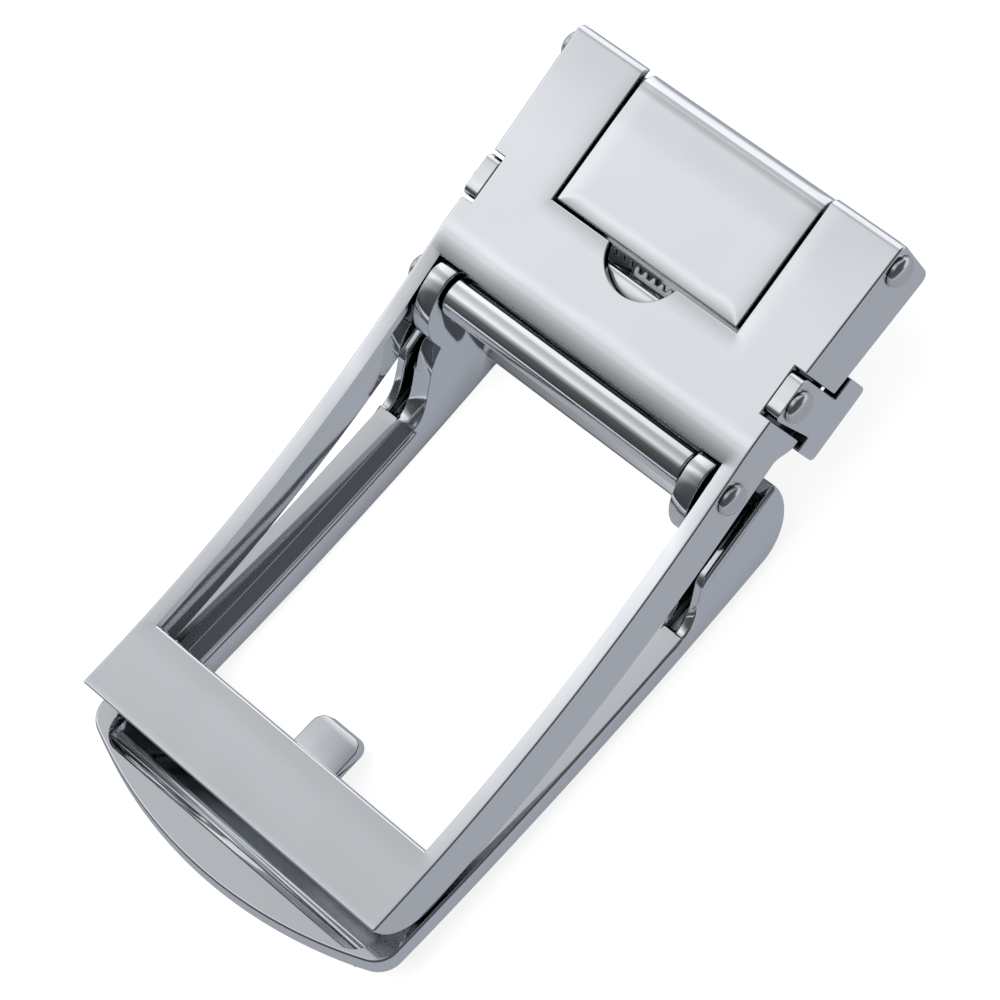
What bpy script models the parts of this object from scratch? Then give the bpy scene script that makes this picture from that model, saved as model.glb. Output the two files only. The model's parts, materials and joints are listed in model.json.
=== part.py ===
"""Ratchet belt buckle with a hinged open frame, lying on its face.

The construction frame has x = 0 at the strap end of the back plate and runs
towards -X to the free end, y = 0 on the belt's middle line, and z = 0 on the
back face of the plate. One empty then tips the whole buckle so that the
bulged front frame rests on the ground.
"""
from math import acos, asin, atan, cos, degrees, pi, radians, sin, sqrt

import bmesh
import bpy
from mathutils import Matrix, Vector

MM = 0.001

# The way the buckle lies on its face: the facet that carries it, counted from the
# hinge end, and how far the origin is moved so that it sits under the middle
REST_FACET = 2
REST_SHIFT = 40.73 * MM

# Gap kept between pieces, and under a pin's head
GAP = 0.3 * MM
SEAT = 0.06 * MM

# Reach of cutters: a little past a face, and beyond every piece
PAST = 1.0 * MM
FAR = 12.0 * MM

# Bracket: the stamped back plate with its two arms and the crossbar
HALF_WIDTH = 20.0 * MM
SHEET = 0.9 * MM
FLANGE = 1.0 * MM
MOUTH_SPLAY = 0.45 * MM
SPLAY_START = -16.4 * MM
PLATE_FRONT = 0.5 * MM
PLATE_BACK = -24.7 * MM
PLATE_ROUND = 0.8 * MM
FOLD_ROUND = 0.45 * MM
BACK_FLAT = -21.0 * MM
BACK_BEND = 3.986
BACK_DROP = 0.1566
BACK_EASE = 5.0 * MM
BACK_FACETS = 18
ARM_LIP = 1.7 * MM
CROSSBAR_INNER = -68.9 * MM
CROSSBAR_OUTER = -77.2 * MM
MOUTH_DEPTH = 7.85 * MM
MOUTH_ROUND = 1.1 * MM
MOUTH_LEAN = 0.5 * MM
CHEEK_DEPTH = 7.2 * MM
ARM_DEPTH = 5.75 * MM
STEP_START = -20.0 * MM
STEP_END = -22.4 * MM
ARM_END_START = -71.0 * MM
FLOOR_TOP = -6.9 * MM
FLOOR_BACK = -15.8 * MM
SEAT_BACK = -13.0 * MM
SEAT_RISE = 0.12 * MM

# Side notches that the lever's cheeks stand in
NOTCH_FRONT = -14.0 * MM
NOTCH_BACK = -19.3 * MM
NOTCH_DEPTH = 1.4 * MM

# Clamp flap, its window and its thumb notch
FLAP_HALF_WIDTH = 11.5 * MM
FLAP_END = -14.3 * MM
FLAP_SLOT = 0.35 * MM
THUMB_CENTRE = -13.65 * MM
THUMB_RADIUS = 4.4 * MM
CURL_RADIUS = 2.05 * MM
CURL_CLOSE = 110.0
TOOTH_COUNT = 9
TOOTH_HEIGHT = 1.3 * MM
TOOTH_ROOT = 2.0 * MM
TOOTH_WIDTH_SHARE = 0.98
TOOTH_SUNK_SHARE = 0.9
TOOTH_INSET_SHARE = 0.1

# Pins: x, z and radius of each axis
CLAMP_PIN = (-1.65 * MM, -2.05 * MM)
LEVER_PIN = (-16.8 * MM, -1.8 * MM)
HINGE_ROD = (-27.1 * MM, -2.5 * MM)
CLAMP_PIN_RADIUS = 0.7 * MM
LEVER_PIN_RADIUS = 0.55 * MM
HINGE_ROD_RADIUS = 0.8 * MM
HEAD_RADIUS = 1.6 * MM
HEAD_WALL = 0.45 * MM
HEAD_RISE = 1.1 * MM
FLUSH_RISE = 0.25 * MM
PIN_SIDES = 24

# Release lever
CHEEK_INNER = 18.6 * MM
CHEEK_OUTER = 20.3 * MM
CHEEK_FRONT = -14.35 * MM
CHEEK_BACK = -18.95 * MM
CHEEK_FOOT_BACK = -18.55 * MM
FOOT_FRONT = -11.9 * MM
FOOT_BACK = -20.2 * MM
FOOT_TOP = -7.85 * MM
FOOT_BOTTOM = -11.6 * MM
CHEEK_ROUND = 0.8 * MM
SHIELD_INNER = 18.2 * MM
SHIELD_OUTER = 18.7 * MM
SHIELD_FRONT = -13.3 * MM
SHIELD_BACK = -19.9 * MM
SHIELD_STEP = -16.3 * MM
SHIELD_TOP = -1.3 * MM
SHIELD_FLOOR = -6.5 * MM
SHIELD_BOTTOM = -8.1 * MM
FOOT_ROUND = 0.6 * MM
WEB_FRONT = -16.4 * MM
WEB_TOP = -3.3 * MM
WEB_BOTTOM = -4.4 * MM
PAWL_TIP = -7.2 * MM
PAWL_ROOT = 0.9 * MM
PAWL_HALF_WIDTH = 14.0 * MM
LUG_INNER = 15.0 * MM
LUG_THICK = 1.4 * MM
LUG_RADIUS = 1.25 * MM

# Spacer tube on the hinge rod
TUBE_RADIUS = 2.2 * MM
TUBE_BORE = 1.1 * MM
TUBE_ROUND = 0.3 * MM

# Front frame
FRAME_HALF_WIDTH = 20.4 * MM
WINDOW_HALF_WIDTH = 15.7 * MM
WINDOW_HINGE = -30.6 * MM
WINDOW_END = -70.6 * MM
BAR_FLAT_END = -27.6 * MM
BAR_LIP_FOOT = (-25.4 * MM, -12.4 * MM)
BAR_LIP_INNER = -24.9 * MM
FACE_START = -30.0 * MM
FACE_LEVEL = -15.8 * MM
FACE_SLOPE = 0.1687
FACE_BEND = 1.737
FACE_END = -86.0 * MM
FACE_FACETS = 12
RIM_DEPTH = 2.4 * MM
CROWN = 1.4 * MM
CROWN_RUN = 6.0 * MM
CROWN_HALF_WIDTH = 16.6 * MM
NOSE_LENGTH = 6.1 * MM
LOBE_TOP = -8.0 * MM
LOBE_FADE_START = -40.5 * MM
LOBE_FADE_END = -34.2 * MM
LOBE_WALL = 1.1 * MM
LOBE_INNER = 18.05 * MM
LOBE_FLOOR = 1.2 * MM
LOBE_SHELF = 0.7 * MM
SHELF_FOOT = -31.5 * MM
SHELF_START = -29.0 * MM
LOBE_FRONT_WALL = 1.6 * MM
END_APEX = -84.35 * MM
END_RADIUS = 46.0 * MM
END_CORNER = 3.0 * MM
END_LEAN = 0.42
EAR_THICK = 2.2 * MM
EAR_RADIUS = 2.6 * MM
EAR_BULGE_CENTRE = (-27.0 * MM, -5.2 * MM)
EAR_BULGE_RADIUS = 5.2 * MM
EAR_FOOT_DROP = 1.2 * MM
LEDGE_DEPTH = 0.9 * MM
LEDGE_OUTER = 17.4 * MM
LEDGE_INNER = 16.3 * MM
POCKET_DEPTH = 1.7 * MM
POCKET_OUTER = -80.95 * MM
POCKET_INNER = -73.0 * MM
POCKET_HALF_WIDTH = 18.0 * MM
POCKET_CORNER = 2.5 * MM
TONGUE_TIP = -66.2 * MM
TONGUE_TOP = -5.0 * MM
TONGUE_HALF_WIDTH = 2.95 * MM
TONGUE_THICK = 1.4 * MM
TONGUE_CORNER = 1.3 * MM
TONGUE_LEAN = 0.29
TONGUE_REACH = 2.2 * MM


# Curves of the side view

def smooth(low, high, value):
    """0 at low, 1 at high, with an even start and stop."""
    share = min(max((value - low) / (high - low), 0.0), 1.0)
    return share * share * (3.0 - 2.0 * share)


def stations(start, stop, count):
    return [start + (stop - start) * step / count for step in range(count + 1)]


def arc(centre, radius, first, last, count, flatten=1.0):
    """Points on an arc in the x-z plane, between two angles in degrees."""
    return [(centre[0] + radius * cos(radians(angle)),
             centre[1] + radius * flatten * sin(radians(angle)))
            for angle in stations(first, last, count)]


def back_height(x):
    """Height of the bracket's back face, flat under the clamp, then curved to the wearer."""
    run = max(BACK_FLAT - x, 0.0)
    return BACK_BEND * run * run - BACK_DROP * run * run / (run + BACK_EASE)


def flange_depth(x):
    """Depth of the bracket's side flange below its back face."""
    if x > STEP_START:
        return MOUTH_DEPTH + (CHEEK_DEPTH - MOUTH_DEPTH) * (PLATE_FRONT - x) / (PLATE_FRONT - STEP_START)
    return CHEEK_DEPTH + (ARM_DEPTH - CHEEK_DEPTH) * smooth(STEP_START, STEP_END, x)


def face_height(x):
    """Height of the front frame's face along its outer edge."""
    if x > FACE_START:
        share = min((x - FACE_START) / NOSE_LENGTH, 1.0)
        return LOBE_TOP + (FACE_LEVEL - LOBE_TOP) * sqrt(1.0 - share * share)
    run = FACE_START - x
    return FACE_LEVEL + FACE_SLOPE * run + FACE_BEND * run * run


def crown(x):
    """How far the face stands out at the window edge beyond its outer edge."""
    at_hinge = smooth(FACE_START + NOSE_LENGTH, FACE_START, x)
    at_end = smooth(END_APEX, END_APEX + 2.0 * CROWN_RUN, x)
    return CROWN * at_hinge * at_end


def rim_height(x):
    """Height of the frame's outer wall, which rises into a lobe beside the hinge."""
    low = face_height(min(x, FACE_START)) + RIM_DEPTH
    return low + (LOBE_TOP - low) * smooth(LOBE_FADE_START, LOBE_FADE_END, x)


def inner_wall_height(x):
    """Height of the wall beside the window, falling from the ear to the ledge."""
    low = face_height(x) + RIM_DEPTH
    foot = (EAR_BULGE_CENTRE[0] - EAR_BULGE_RADIUS, EAR_BULGE_CENTRE[1] - EAR_FOOT_DROP)
    return low + (foot[1] - low) * smooth(LOBE_FADE_START, foot[0], x)


# Scene, materials and placing

def clear_scene():
    for item in list(bpy.data.objects):
        bpy.data.objects.remove(item, do_unlink=True)
    for group in list(bpy.data.collections):
        bpy.data.collections.remove(group)


def make_collection(name):
    group = bpy.data.collections.new(name)
    bpy.context.scene.collection.children.link(group)
    return group


def make_metal(name, colour, roughness):
    material = bpy.data.materials.new(name)
    material.use_nodes = True
    shader = material.node_tree.nodes["Principled BSDF"]
    shader.inputs["Base Color"].default_value = (*colour, 1.0)
    shader.inputs["Metallic"].default_value = 1.0
    shader.inputs["Roughness"].default_value = roughness
    material.diffuse_color = (*colour, 1.0)
    return material


def make_rest_empty(group):
    """The empty that carries every piece and tips the buckle onto a facet of its face."""
    edges = stations(FACE_START, FACE_END, FACE_FACETS)[REST_FACET:REST_FACET + 2]
    levels = [face_height(x) - crown(x) for x in edges]
    tilt = atan((levels[0] - levels[1]) / (edges[0] - edges[1]))
    floor = levels[0] * cos(tilt) - edges[0] * sin(tilt)
    empty = bpy.data.objects.new("buckle_lying", None)
    group.objects.link(empty)
    empty.rotation_euler = (0.0, tilt, 0.0)
    empty.location = (REST_SHIFT, 0.0, -floor)
    return empty


def add_piece(name, bm, group, parent, origin=(0.0, 0.0), material=None):
    """Make an object of a bmesh, with its origin on the axis at x and z of origin."""
    bmesh.ops.recalc_face_normals(bm, faces=bm.faces)
    mesh = bpy.data.meshes.new(name)
    bm.to_mesh(mesh)
    bm.free()
    shift = Vector((origin[0], 0.0, origin[1]))
    mesh.transform(Matrix.Translation(-shift))
    piece = bpy.data.objects.new(name, mesh)
    group.objects.link(piece)
    piece.parent = parent
    piece.location = shift
    if material is None:
        piece.hide_render = True
        piece.display_type = "WIRE"
    else:
        mesh.materials.append(material)
    return piece


def combine(piece, other, operation):
    """Cut or join another object with a Boolean that stays on the piece."""
    modifier = piece.modifiers.new(operation.lower() + "_" + other.name, "BOOLEAN")
    modifier.operation = operation
    modifier.solver = "EXACT"
    modifier.object = other


# Basic solids

def prism_bmesh(outline, low, high):
    """Extrude an outline of x and z along Y, from low to high."""
    bm = bmesh.new()
    corners = [bm.verts.new((x, low, z)) for x, z in outline]
    face = bm.faces.new(corners)
    grown = bmesh.ops.extrude_face_region(bm, geom=[face])["geom"]
    moved = [item for item in grown if isinstance(item, bmesh.types.BMVert)]
    bmesh.ops.translate(bm, verts=moved, vec=(0.0, high - low, 0.0))
    return bm


def plan_bmesh(outline, low, high):
    """Extrude an outline of x and y along Z, from low to high."""
    bm = bmesh.new()
    corners = [bm.verts.new((x, y, low)) for x, y in outline]
    face = bm.faces.new(corners)
    grown = bmesh.ops.extrude_face_region(bm, geom=[face])["geom"]
    moved = [item for item in grown if isinstance(item, bmesh.types.BMVert)]
    bmesh.ops.translate(bm, verts=moved, vec=(0.0, 0.0, high - low))
    return bm


def box_bmesh(low, high):
    """A box between two corners."""
    bm = bmesh.new()
    size = Vector(high) - Vector(low)
    middle = (Vector(high) + Vector(low)) / 2.0
    place = Matrix.Translation(middle) @ Matrix.Diagonal((*size, 1.0))
    bmesh.ops.create_cube(bm, size=1.0, matrix=place)
    return bm


def rod_bmesh(axis, radius, half_length, sides=PIN_SIDES):
    """A plain round bar along Y."""
    bm = bmesh.new()
    place = Matrix.Translation((axis[0], 0.0, axis[1])) @ Matrix.Rotation(pi / 2.0, 4, "X")
    bmesh.ops.create_cone(bm, cap_ends=True, segments=sides, radius1=radius, radius2=radius,
                          depth=2.0 * half_length, matrix=place)
    return bm


def loft_bmesh(sections):
    """Join outlines of equal point counts, each a (y, outline) pair, into one closed solid."""
    bm = bmesh.new()
    rings = [[bm.verts.new((x, y, z)) for x, z in outline] for y, outline in sections]
    loops = []
    for ring in rings:
        loops.append([bm.edges.new((ring[i - 1], ring[i])) for i in range(len(ring))])
    for first, second in zip(loops, loops[1:]):
        bmesh.ops.bridge_loops(bm, edges=first + second)
    bm.faces.new(rings[0])
    bm.faces.new(rings[-1])
    return bm


def both_sides(name, make, group, parent):
    """Two cutters, one on each side of the middle line, made by make(side)."""
    return [add_piece(name + "_" + word, make(side), group, parent)
            for word, side in (("left", 1.0), ("right", -1.0))]


def side_prism(outline, inner, outer, side):
    """A prism between two distances from the middle line, on one side of it."""
    low, high = sorted((inner * side, outer * side))
    return prism_bmesh(outline, low, high)


# Bracket

def bracket_outline():
    """Side view of the bracket: back face, rounded end of the arm, lower edge, strap end."""
    centre = (PLATE_FRONT - PLATE_ROUND, -PLATE_ROUND)
    top = arc(centre, PLATE_ROUND, 0.0, 90.0, 4)
    top += [(x, back_height(x)) for x in stations(BACK_FLAT, CROSSBAR_OUTER, BACK_FACETS)]
    end_centre = (ARM_END_START, back_height(ARM_END_START))
    end = []
    for x, z in arc(end_centre, ARM_END_START - CROSSBAR_OUTER, 180.0, 270.0, 8):
        end.append((x, end_centre[1] + (z - end_centre[1]) * ARM_DEPTH / (ARM_END_START - CROSSBAR_OUTER)))
    under = [(x, back_height(x) - flange_depth(x)) for x in stations(ARM_END_START, STEP_END, 12)[1:]]
    under += [(x, back_height(x) - flange_depth(x)) for x in stations(STEP_END, STEP_START, 5)[1:]]
    corner = (PLATE_FRONT - MOUTH_ROUND - MOUTH_LEAN, -MOUTH_DEPTH + MOUTH_ROUND)
    mouth = arc(corner, MOUTH_ROUND, 270.0, 355.0, 4)
    return top + end + under + mouth


def hollow_outline():
    """Side view of the strap's channel; the seat on the floor ends clear of the lever's plates."""
    roof = [(FAR, -SHEET)]
    roof += [(x, back_height(x) - SHEET) for x in stations(BACK_FLAT, CROSSBAR_OUTER, BACK_FACETS)]
    roof += [(CROSSBAR_OUTER - FAR, back_height(CROSSBAR_OUTER) - SHEET)]
    below = [(CROSSBAR_OUTER - FAR, -2.0 * FAR), (FLOOR_BACK, -2.0 * FAR),
             (FLOOR_BACK, FLOOR_TOP - SEAT_RISE), (SEAT_BACK, FLOOR_TOP - SEAT_RISE),
             (SEAT_BACK, FLOOR_TOP), (FAR, FLOOR_TOP)]
    return roof + below


def thumb_outline():
    """Plan of the flap's window with the round thumb notch in its closed end."""
    half = FLAP_HALF_WIDTH + FLAP_SLOT
    edge = FLAP_END - FLAP_SLOT
    reach = sqrt(THUMB_RADIUS ** 2 - (THUMB_CENTRE - edge) ** 2)
    angle = degrees(pi - acos((THUMB_CENTRE - edge) / THUMB_RADIUS))
    notch = [(THUMB_CENTRE + THUMB_RADIUS * cos(radians(turn)), THUMB_RADIUS * sin(radians(turn)))
             for turn in stations(angle, 360.0 - angle, 14)]
    notch[0] = (edge, reach)
    notch[-1] = (edge, -reach)
    return [(FAR, half), (edge, half)] + notch + [(edge, -half), (FAR, -half)]


def splay_mouth(bm):
    """Spread the side walls a little towards the strap end."""
    bmesh.ops.bisect_plane(bm, geom=list(bm.verts) + list(bm.edges) + list(bm.faces),
                           plane_co=(SPLAY_START, 0.0, 0.0), plane_no=(1.0, 0.0, 0.0))
    for vertex in bm.verts:
        share = max(vertex.co.x - SPLAY_START, 0.0) / (PLATE_FRONT - SPLAY_START)
        vertex.co.y += MOUTH_SPLAY * share * (1.0 if vertex.co.y > 0.0 else -1.0)


def make_bracket(group, cutters, parent, metal):
    outline = bracket_outline()
    bm = prism_bmesh(outline, -HALF_WIDTH, HALF_WIDTH)
    splay_mouth(bm)
    folds = [edge for edge in bm.edges if is_fold(edge)]
    bmesh.ops.bevel(bm, geom=folds, offset=FOLD_ROUND, segments=2, profile=0.5,
                    affect="EDGES", clamp_overlap=True, material=-1)
    bracket = add_piece("bracket", bm, group, parent, material=metal)

    inner = HALF_WIDTH - FLANGE
    channel = prism_bmesh(hollow_outline(), -inner, inner)
    splay_mouth(channel)
    tools = [add_piece("cut_channel", channel, cutters, parent)]
    edge = HALF_WIDTH - ARM_LIP
    window = box_bmesh((CROSSBAR_INNER, -edge, -FAR), (PLATE_BACK, edge, FAR))
    tools.append(add_piece("cut_arm_window", window, cutters, parent))
    window = plan_bmesh(thumb_outline(), -2.0 * PAST, FAR)
    tools.append(add_piece("cut_flap_window", window, cutters, parent))

    def notch(side):
        low, high = sorted(((HALF_WIDTH - NOTCH_DEPTH) * side, (HALF_WIDTH + 2.0 * PAST) * side))
        return box_bmesh((NOTCH_BACK, low, -FAR), (NOTCH_FRONT, high, FAR))

    tools += both_sides("cut_notch", notch, cutters, parent)
    tools.append(add_piece("cut_clamp_bore", rod_bmesh(CLAMP_PIN, CLAMP_PIN_RADIUS + GAP, FAR * 2.0),
                           cutters, parent))
    tools.append(add_piece("cut_hinge_bore", rod_bmesh(HINGE_ROD, HINGE_ROD_RADIUS + GAP, FAR * 2.0),
                           cutters, parent))
    for tool in tools:
        combine(bracket, tool, "DIFFERENCE")

    def lug(side):
        outline = [(LEVER_PIN[0] + LUG_RADIUS, -SHEET / 2.0), (LEVER_PIN[0] - LUG_RADIUS, -SHEET / 2.0)]
        outline += arc(LEVER_PIN, LUG_RADIUS, 180.0, 360.0, 8)
        return side_prism(outline, LUG_INNER, LUG_INNER + LUG_THICK, side)

    for tool in both_sides("add_lug", lug, cutters, parent):
        combine(bracket, tool, "UNION")
    bore = add_piece("cut_lever_bore", rod_bmesh(LEVER_PIN, LEVER_PIN_RADIUS + GAP, LUG_INNER + 2.0 * PAST),
                     cutters, parent)
    combine(bracket, bore, "DIFFERENCE")
    return bracket


def is_fold(edge):
    """True for the outer edges along the back face, where the sheet is folded down."""
    first, second = (vertex.co for vertex in edge.verts)
    if first.y * second.y < 0.0:
        return False
    return all(abs(point.z - back_height(point.x)) < 0.01 * MM for point in (first, second))


# Clamp flap

def flap_outline():
    """Side view of the flap: plate, curl round the pin, and the lip bent down at its free end."""
    outer = arc(CLAMP_PIN, CURL_RADIUS, 90.0, -180.0, 18)
    inner = arc(CLAMP_PIN, CLAMP_PIN_RADIUS + GAP, -180.0, CURL_CLOSE, 16)
    under = -SHEET
    lip = [(FLAP_END + SHEET, under), (FLAP_END + SHEET, -TOOTH_ROOT), (FLAP_END, -TOOTH_ROOT)]
    crook = (CLAMP_PIN[0] - CURL_RADIUS, under)
    return [(FLAP_END, 0.0)] + outer + inner + [crook] + lip


def flap_tooth(centre):
    """One pointed tooth under the lip."""
    half = FLAP_HALF_WIDTH / TOOTH_COUNT * TOOTH_WIDTH_SHARE
    root = -TOOTH_ROOT * TOOTH_SUNK_SHARE
    inset = SHEET * TOOTH_INSET_SHARE
    bm = bmesh.new()
    corners = [(centre - half, root), (centre + half, root), (centre, -TOOTH_ROOT - TOOTH_HEIGHT)]
    face = bm.faces.new([bm.verts.new((FLAP_END + inset, y, z)) for y, z in corners])
    grown = bmesh.ops.extrude_face_region(bm, geom=[face])["geom"]
    moved = [item for item in grown if isinstance(item, bmesh.types.BMVert)]
    bmesh.ops.translate(bm, verts=moved, vec=(SHEET - 2.0 * inset, 0.0, 0.0))
    return bm


def make_clamp_flap(group, cutters, parent, metal):
    flap = add_piece("clamp_flap", prism_bmesh(flap_outline(), -FLAP_HALF_WIDTH, FLAP_HALF_WIDTH),
                     group, parent, CLAMP_PIN, metal)
    pitch = 2.0 * FLAP_HALF_WIDTH / TOOTH_COUNT
    for number in range(TOOTH_COUNT):
        centre = -FLAP_HALF_WIDTH + pitch * (number + 0.5)
        tooth = add_piece("add_tooth_" + str(number + 1), flap_tooth(centre), cutters, parent)
        combine(flap, tooth, "UNION")
    return flap


# Pins and tube

def turned_piece(name, profile, axis, group, parent, metal):
    """A piece turned about an axis along Y, from a profile of (radius, distance along Y)."""
    mesh = bpy.data.meshes.new(name)
    points = [(radius, 0.0, along) for radius, along in profile]
    mesh.from_pydata(points, [(i, i + 1) for i in range(len(points) - 1)], [])
    mesh.materials.append(metal)
    piece = bpy.data.objects.new(name, mesh)
    group.objects.link(piece)
    piece.parent = parent
    piece.location = (axis[0], 0.0, axis[1])
    piece.rotation_euler = (-pi / 2.0, 0.0, 0.0)
    screw = piece.modifiers.new("turn", "SCREW")
    screw.axis = "Z"
    screw.steps = PIN_SIDES
    screw.render_steps = PIN_SIDES
    screw.use_merge_vertices = True
    screw.merge_threshold = 0.00001
    return piece


def pin_head(base, wall, rise):
    """Profile of a button head: a short straight wall, then a flat dome."""
    dome = [(HEAD_RADIUS * sin(radians(turn)), base + wall + (rise - wall) * cos(radians(turn)))
            for turn in stations(0.0, 90.0, 5)]
    return dome + [(HEAD_RADIUS, base)]


def headed_pin(name, axis, radius, seat, left, group, parent, metal):
    """A plain pin with a head at each end just off the side walls, the left one as given."""
    upper = pin_head(seat, left[0], left[1]) + [(radius, seat)]
    right = pin_head(seat, HEAD_WALL, HEAD_RISE) + [(radius, seat)]
    lower = [(along_radius, -along) for along_radius, along in reversed(right)]
    return turned_piece(name, upper + lower, axis, group, parent, metal)


def make_spacer_tube(group, parent, metal):
    half = WINDOW_HALF_WIDTH - GAP
    shoulder, round_end = TUBE_RADIUS - TUBE_ROUND, half - TUBE_ROUND
    profile = [(TUBE_BORE, half), (shoulder, half), (TUBE_RADIUS, round_end),
               (TUBE_RADIUS, -round_end), (shoulder, -half), (TUBE_BORE, -half), (TUBE_BORE, half)]
    return turned_piece("spacer_tube", profile, HINGE_ROD, group, parent, metal)


# Release lever

def cheek_outline(with_foot):
    """Side view of a cheek: round-cornered head in the notch, and the thumb foot on one of them."""
    head = arc((CHEEK_FRONT - CHEEK_ROUND, -CHEEK_ROUND), CHEEK_ROUND, 0.0, 90.0, 3)
    head += arc((CHEEK_BACK + CHEEK_ROUND, -CHEEK_ROUND), CHEEK_ROUND, 90.0, 180.0, 3)
    if not with_foot:
        return head + [(CHEEK_FOOT_BACK, -CHEEK_DEPTH), (CHEEK_FRONT, -CHEEK_DEPTH)]
    foot = [(CHEEK_FOOT_BACK, FOOT_TOP), (FOOT_BACK, FOOT_TOP)]
    foot += arc((FOOT_BACK + FOOT_ROUND, FOOT_BOTTOM + FOOT_ROUND), FOOT_ROUND, 180.0, 270.0, 3)
    foot += arc((FOOT_FRONT - FOOT_ROUND, FOOT_BOTTOM + FOOT_ROUND), FOOT_ROUND, 270.0, 360.0, 3)
    foot += [(FOOT_FRONT, FOOT_TOP), (CHEEK_FRONT, FOOT_TOP)]
    return head + foot


def shield(side):
    """A thin plate inside the side wall that closes the gaps round a cheek."""
    outline = [(SHIELD_FRONT, SHIELD_TOP), (SHIELD_BACK, SHIELD_TOP), (SHIELD_BACK, SHIELD_BOTTOM),
               (SHIELD_STEP, SHIELD_BOTTOM), (SHIELD_STEP, SHIELD_FLOOR), (SHIELD_FRONT, SHIELD_FLOOR)]
    return side_prism(outline, SHIELD_INNER, SHIELD_OUTER, side)


def make_release_lever(group, cutters, parent, metal):
    web = [(WEB_FRONT, WEB_TOP), (CHEEK_BACK + GAP, WEB_TOP), (CHEEK_BACK + GAP, WEB_BOTTOM),
           (WEB_FRONT, WEB_BOTTOM)]
    bm = prism_bmesh(web, -CHEEK_INNER - GAP, CHEEK_INNER + GAP)
    lever = add_piece("release_lever", bm, group, parent, LEVER_PIN, metal)
    right = side_prism(cheek_outline(True), CHEEK_INNER, CHEEK_OUTER, -1.0)
    left = side_prism(cheek_outline(False), CHEEK_INNER, CHEEK_OUTER, 1.0)
    pawl = [(WEB_FRONT - PAWL_ROOT, WEB_BOTTOM + GAP), (CHEEK_BACK + 2.0 * GAP, WEB_BOTTOM + GAP),
            (CHEEK_BACK + GAP, PAWL_TIP), (CHEEK_BACK + 3.0 * GAP, PAWL_TIP)]
    pawl_bm = prism_bmesh(pawl, -PAWL_HALF_WIDTH, PAWL_HALF_WIDTH)
    for name, bm in (("add_cheek_right", right), ("add_cheek_left", left), ("add_pawl", pawl_bm)):
        combine(lever, add_piece(name, bm, cutters, parent), "UNION")
    for tool in both_sides("add_shield", shield, cutters, parent):
        combine(lever, tool, "UNION")
    bore = rod_bmesh(LEVER_PIN, LEVER_PIN_RADIUS + GAP, FAR * 2.0)
    combine(lever, add_piece("cut_cheek_bore", bore, cutters, parent), "DIFFERENCE")
    return lever


# Front frame

def frame_section(extra):
    """Side view of the frame's casting, with its face lowered by extra times the crown."""
    nose = [(x, face_height(x) - extra * crown(x)) for x in
            (FACE_START + NOSE_LENGTH * sin(radians(turn)) for turn in stations(90.0, 0.0, 8))]
    face = [(x, face_height(x) - extra * crown(x)) for x in stations(FACE_START, FACE_END, FACE_FACETS)[1:]]
    rim = [(x, face_height(x) + RIM_DEPTH) for x in stations(FACE_END, LOBE_FADE_START, 12)]
    wall = [(x, inner_wall_height(x)) for x in
            stations(LOBE_FADE_START, EAR_BULGE_CENTRE[0] - EAR_BULGE_RADIUS, 6)[1:]]
    bulge = arc(EAR_BULGE_CENTRE, EAR_BULGE_RADIUS, 180.0, 95.0, 7)
    ear = arc(HINGE_ROD, EAR_RADIUS, 85.0, 0.0, 6)
    return nose + face + rim + wall + bulge + ear


def frame_plan(level):
    """Plan of the frame at a height: straight sides and a bowed end, which leans out below."""
    centre = END_APEX + END_RADIUS + END_LEAN * level
    half = FRAME_HALF_WIDTH
    across = half - END_CORNER
    along = centre - sqrt((END_RADIUS - END_CORNER) ** 2 - across ** 2)
    lean = pi - asin(across / (END_RADIUS - END_CORNER))
    corner = [(along + END_CORNER * cos(turn), across + END_CORNER * sin(turn))
              for turn in stations(radians(90.0), lean, 5)]
    bow = [(centre + END_RADIUS * cos(turn), END_RADIUS * sin(turn))
           for turn in stations(lean, 2.0 * pi - lean, 16)[1:-1]]
    mirrored = [(x, -y) for x, y in reversed(corner)]
    return [(FAR, half)] + corner + bow + mirrored + [(FAR, -half)]


def above_rim_outline():
    """Everything above the frame's outer wall, seen from the side."""
    start = END_APEX - 2.0 * PAST
    edge = [(x, rim_height(x)) for x in stations(start, LOBE_FADE_START, 10)]
    edge += [(x, rim_height(x)) for x in stations(LOBE_FADE_START, LOBE_FADE_END, 8)[1:]]
    edge += [(FAR, LOBE_TOP)]
    return edge + [(FAR, FAR), (start, FAR)]


def loft_plans(low, high):
    """A solid between two plans of the frame at different heights."""
    bm = bmesh.new()
    rings = []
    for level in (low, high):
        rings.append([bm.verts.new((x, y, level)) for x, y in frame_plan(level)])
    loops = [[bm.edges.new((ring[i - 1], ring[i])) for i in range(len(ring))] for ring in rings]
    bmesh.ops.bridge_loops(bm, edges=loops[0] + loops[1])
    bm.faces.new(rings[0])
    bm.faces.new(rings[1])
    return bm


def end_pocket():
    """The pocket sunk in the end bar, with its two outer corners rounded."""
    outline = recess_outline(POCKET_DEPTH, POCKET_OUTER, POCKET_INNER)
    bm = prism_bmesh(outline, -POCKET_HALF_WIDTH, POCKET_HALF_WIDTH)
    upright = [edge for edge in bm.edges if all(abs(vertex.co.x - POCKET_OUTER) < 0.01 * MM
                                                for vertex in edge.verts)
               and edge.verts[0].co.y * edge.verts[1].co.y > 0.0]
    bmesh.ops.bevel(bm, geom=upright, offset=POCKET_CORNER, segments=4, profile=0.5,
                    affect="EDGES", clamp_overlap=True, material=-1)
    return bm


def recess_outline(depth, start, stop):
    """A slice above the rim line lowered by depth, between two places along the belt."""
    floor = [(x, face_height(x) + RIM_DEPTH - depth) for x in stations(start, stop, 8)]
    return floor + [(stop, FAR), (start, FAR)]


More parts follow.
